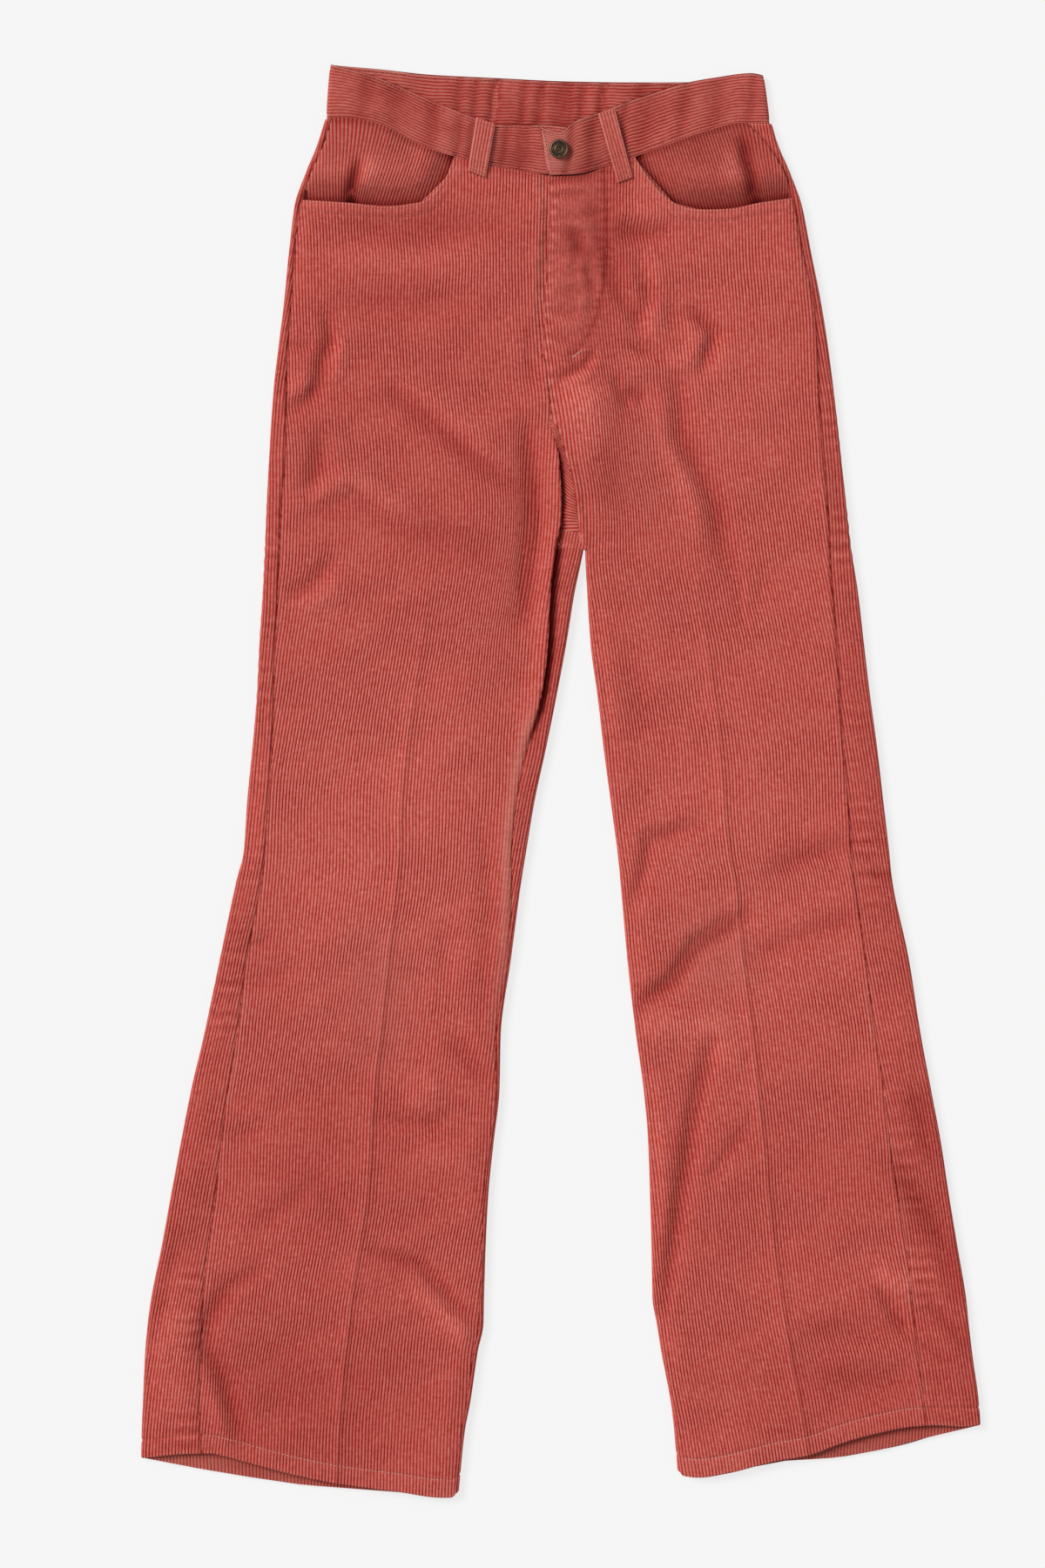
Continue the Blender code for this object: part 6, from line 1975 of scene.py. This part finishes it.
def add_node(material: bpy.types.Material, kind: str, inputs: dict | tuple = (), output: int | str = 0,
             **settings: object) -> bpy.types.NodeSocket:
    """Add a node to a material.

    Args:
        material: The material.
        kind: Blender's name of the node, after "ShaderNode".
        inputs: A value for each input, or the output that feeds it.
        output: Which output is wanted.
        settings: The node's own settings.

    Returns:
        That output.
    """
    node = material.node_tree.nodes.new("ShaderNode" + kind)
    for name, value in settings.items():
        setattr(node, name, value)
    set_inputs(node, inputs)
    return node.outputs[output]


@dataclass(frozen=True)
class CutPileCotton:
    """Cotton corduroy, woven with floats that are cut into ribs of pile and brushed. The upright pile takes
    light softly, so the ribs are matt and pale on top; the deep red between them is partly the pile's own
    colour and partly painted shade of the grooves. It is darker where it is pressed one way, and where it is
    rubbed off the ground cloth shows paler. Each piece also carries painted shade and light from its creases
    and seams, which darkens and reddens the colour in troughs and pales it on ridges."""

    name: str = "corduroy_cut_pile_cotton"
    rib_light: str = "#D0776C"
    rib_dark: str = "#B8534A"
    # between the ribs: partly the pile's own colour, partly painted shade of the grooves
    groove: str = "#A51F1A"
    worn: str = "#D08477"
    faded: str = "#A8655A"
    sheen: str = "#F0A498"
    roughness: float = 0.93
    groove_reach: tuple[float, float] = (0.04, 0.31)      # from the groove's middle, in ribs
    tufts: float = 2.6                                    # per centimetre along a rib
    fibres: tuple[float, float] = (3.2, 13)               # in a rib, and per centimetre along it; coarse
    cloud: float = 11                                     # per metre
    # streaks of pile pressed one way across the ribs: about 26 by 17 mm, and finer ones of 6 by 2 mm
    streaks: tuple[tuple[float, float, float], ...] = ((38, 60, 1), (170, 520, 1))
    depth: float = 0.0004                                 # of the pile, in metres

    def build(self) -> bpy.types.Material:
        """Make the material."""
        material, shader = new_material(self.name)
        add = partial(add_node, material)
        product = {"operation": "MULTIPLY"}
        grain = add("UVMap", uv_map="grain")
        rib = add("SeparateXYZ", (grain,))
        along = rib.node.outputs[1]
        worn, faded, crushed, nap_and_shade = [add("Attribute", (), "Fac", attribute_name=name)
                                     for name in ("worn", "faded", "crushed", "nap_and_shade")]
        place = add("TexCoord", (), "Object")
        places = [add("CombineXYZ", (across, add("Math", (along, count), **product))) for across, count in (
            (rib, self.tufts), (add("Math", (rib, self.fibres[0]), **product), self.fibres[1]))]
        places += [add("Mapping", {0: place, 3: size}) for size in self.streaks]
        tufts, fibres, broad, fine, clouds = [
            add("TexNoise", {"Vector": at, "Scale": scale, "Detail": detail, "Roughness": rough}, "Fac")
            for at, scale, detail, rough in (
                (places[0], 1, 3, 0.65), (places[1], 1, 2, 0.55), (places[2], 1, 2, 0.55),
                (places[3], 1, 2, 0.55), (place, self.cloud, 3, 0.55))]
        # distance from the middle of the nearest groove, in ribs
        off = rib
        for operation, value in (("ADD", 0.5), ("FRACT", 0.5), ("SUBTRACT", 0.5), ("ABSOLUTE", 0.5)):
            off = add("Math", (off, value), operation=operation)
        groove = add("MapRange", (off, *self.groove_reach, 1, 0), interpolation_type="SMOOTHSTEP")
        for share in ((crushed, 0, 1, 1, 0.34), (broad, 0.35, 0.65, 1.06, 0.9), (fine, 0.3, 0.7, 1.05, 0.9)):
            groove = add("Math", (groove, add("MapRange", share)), **product)
        fade = add("Math", (add("Math", (faded, clouds), **product), 1.7), use_clamp=True, **product)
        rub = add("Math", (add("MapRange", (fibres, 0.25, 0.6)), worn), use_clamp=True, **product)
        colour = linear(self.rib_dark)
        for factor, other in ((add("MapRange", (tufts, 0.3, 0.7)), self.rib_light), (fade, self.faded),
                              (rub, self.worn), (groove, self.groove)):
            colour = add("Mix", {0: factor, 6: colour, 7: linear(other)}, 2, data_type="RGBA")
        # paler and darker clouds and streaks of the pile, times the painted shade and light that each piece
        # carries from its creases; darker also turns redder
        shade = add("MapRange", (clouds, 0.3, 0.7, 0.98, 1.02))
        for other in (add("MapRange", (broad, 0.32, 0.68, 0.985, 1.015)),
                      add("MapRange", (fine, 0.3, 0.7, 0.94, 1.05)), nap_and_shade):
            shade = add("Math", (shade, other), **product)
        green = add("Math", (shade, 1.9), operation="POWER")
        colour = add("Mix", {0: 1, 6: colour, 7: add("CombineColor", (shade, green, green))}, 2,
                     data_type="RGBA", blend_type="MULTIPLY")
        pile = add("Math", (tufts, 0.5, add("Math", (fibres, 0.45), **product)), operation="MULTIPLY_ADD")
        height = add("Math", (pile, groove), operation="SUBTRACT")
        set_inputs(shader, {
            "Base Color": colour, "Roughness": self.roughness, "Specular IOR Level": 0.08,
            "Sheen Weight": 0.1, "Sheen Roughness": 0.5, "Sheen Tint": linear(self.sheen),
            "Normal": add("Bump", {"Height": height, "Strength": 0.5, "Distance": self.depth})})
        return material


@dataclass(frozen=True)
class SpunThread:
    """Spun cotton-wrapped sewing thread, dyed to match: two plies twisted, slightly shiny."""

    name: str
    colour: str
    twist: float = 900            # ridges per metre, drawn coarse to show
    dirt: float = 160             # patches per metre
    darker: float = 0.62          # how much darker they are
    relief: float = 0.0002        # in metres

    def build(self) -> bpy.types.Material:
        """Make the material."""
        material, shader = new_material(self.name)
        add = partial(add_node, material)
        place = add("TexCoord", (), "Object")
        plies = add("TexWave", {"Vector": place, "Scale": self.twist / 6.3, "Distortion": 1.5}, "Fac",
                    bands_direction="DIAGONAL")
        dirt = add("TexNoise", {"Vector": place, "Scale": self.dirt, "Detail": 2}, "Fac")
        clean = linear(self.colour)
        dark = (*(self.darker * part for part in clean[:3]), 1)
        set_inputs(shader, {
            "Base Color": add("Mix", {0: dirt, 6: dark, 7: clean}, 2, data_type="RGBA"), "Roughness": 0.7,
            "Sheen Weight": 0.2,
            "Normal": add("Bump", {"Height": plies, "Strength": 0.4, "Distance": self.relief})})
        return material


@dataclass(frozen=True)
class AntiqueBrass:
    """Stamped brass, oxidised dark and rubbed bright on its raised rings."""

    name: str = "antique_brass_stamped"
    bright: str = "#A58C72"
    dark: str = "#35281F"
    grain: float = 900            # specks per metre
    relief: float = 0.0002        # in metres

    def build(self) -> bpy.types.Material:
        """Make the material."""
        material, shader = new_material(self.name)
        add = partial(add_node, material)
        place = add("TexCoord", (), "Object")
        grime = add("TexNoise", {"Vector": place, "Scale": self.grain, "Detail": 4}, "Fac")
        raised = add("MapRange", (add("NewGeometry", (), "Pointiness"), 0.47, 0.58))
        shine = add("Math", (raised, grime), operation="MULTIPLY", use_clamp=True)
        set_inputs(shader, {
            "Base Color": add("Mix", {0: shine, 6: linear(self.dark), 7: linear(self.bright)}, 2,
                              data_type="RGBA"),
            "Metallic": 1, "Roughness": add("MapRange", (grime, 0, 1, 0.32, 0.6)),
            "Normal": add("Bump", {"Height": grime, "Strength": 0.25, "Distance": self.relief})})
        return material


@dataclass(frozen=True)
class PaperSweep:
    """Seamless background paper on a light table, matt and nearly white, so that shadows on it stay
    faint."""

    name: str = "background_paper"
    colour: str = "#6E6E6E"
    light: str = "#FFFFFF"
    glow: float = 0.758

    def build(self) -> bpy.types.Material:
        """Make the material."""
        material, shader = new_material(self.name)
        set_inputs(shader, {"Base Color": linear(self.colour), "Roughness": 0.9, "Specular IOR Level": 0.1,
                            "Emission Color": linear(self.light), "Emission Strength": self.glow})
        return material


@dataclass
class Studio:
    """A camera straight above, soft light from the upper left, and a pale floor."""

    frame_height: float = 1.125          # what the camera sees, in metres
    middle: tuple[float, float] = (-0.0275, -0.0021)
    camera_height: float = 3.6
    clip_end: float = 40
    key: float = 2.7                     # of light from the upper left, and how soft it is
    key_spread: float = math.radians(26)
    key_height: float = math.radians(40)
    key_turn: float = math.radians(150)
    sky: float = 0.48
    floor_reach: float = 12
    floor_z: float = -0.0003

    def camera(self) -> None:
        """Look straight down, top of the picture towards the waist."""
        data = bpy.data.cameras.new("camera")
        data.sensor_fit = "VERTICAL"
        data.sensor_height = 36
        data.lens = data.sensor_height * self.camera_height / self.frame_height
        data.clip_end = self.clip_end
        thing = new_object("camera", data)
        thing.location = (*self.middle, self.camera_height)
        bpy.context.scene.camera = thing

    def light(self) -> None:
        """A large soft light, far off at the upper left, and a white sky."""
        data = bpy.data.lights.new("key", "SUN")
        data.energy, data.angle = self.key, self.key_spread
        new_object("key", data).rotation_euler = (math.pi / 2 - self.key_height, 0,
                                                  self.key_turn + math.pi / 2)
        world = bpy.data.worlds.new("studio")
        world.use_nodes = True
        set_inputs(world.node_tree.nodes["Background"], {"Color": (1, 1, 1, 1), "Strength": self.sky})
        bpy.context.scene.world = world

    def build(self) -> None:
        """Set the studio up."""
        self.camera()
        self.light()
        bpy.context.scene.view_settings.view_transform = "Standard"
        mesh = bpy.data.meshes.new("floor")
        corners = [(x * self.floor_reach, y * self.floor_reach, self.floor_z)
                   for x, y in ((-1, -1), (1, -1), (1, 1), (-1, 1))]
        mesh.from_pydata(corners, [], [(0, 1, 2, 3)])
        mesh.materials.append(PaperSweep().build())
        new_object("floor", mesh)


def main() -> None:
    """Build the trousers and the studio."""
    logging.basicConfig(level=logging.INFO, format="%(message)s")
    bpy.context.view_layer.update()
    Studio().build()
    corduroy = CutPileCotton().build()
    thread = SpunThread("matched_thread", "#C2564C").build()
    bright_thread = SpunThread("faded_thread", "#D69A8C").build()
    threads = Threads()
    fronts = pair(RightFront("front_right", Side.RIGHT), LeftFront("front_left", Side.LEFT))
    pieces = {}
    right_back = BackPanel("back_right", Side.RIGHT)
    for panel in (*fronts.values(), right_back, BackPanel("back_left", Side.LEFT),
                  PocketFacing("pocket_facing_right", Side.RIGHT),
                  PocketFacing("pocket_facing_left", Side.LEFT)):
        pieces[panel.node] = panel.build(corduroy)
    pieces["waistband"] = Waistband().build(corduroy, threads)
    loops = (BeltLoop("belt_loop_right", ((-60.6, 38), (-46.9, 43.4), (-66.9, 76.4), (-53.8, 81.6))),
             BeltLoop("belt_loop_left", ((26.4, 35.6), (38.6, 32.4), (40.2, 85.6), (51.4, 81.4))))
    for loop in loops:
        pieces[loop.node] = loop.build(corduroy, threads)
    for gather in fork_pieces(right_back):
        pieces[gather.name] = gather.build(corduroy)
    sew_fronts(threads, fronts)
    pieces["stitches"] = threads.build("stitches", threads.plain, thread)
    pieces["bright_stitches"] = threads.build("bright_stitches", threads.bright, bright_thread)
    pieces["button"] = TackButton().build(AntiqueBrass().build())
    for name, piece in pieces.items():
        piece.data.calc_loop_triangles()
        LOG.info("%s: %d triangles", name, len(piece.data.loop_triangles))


if __name__ == "__main__":
    main()
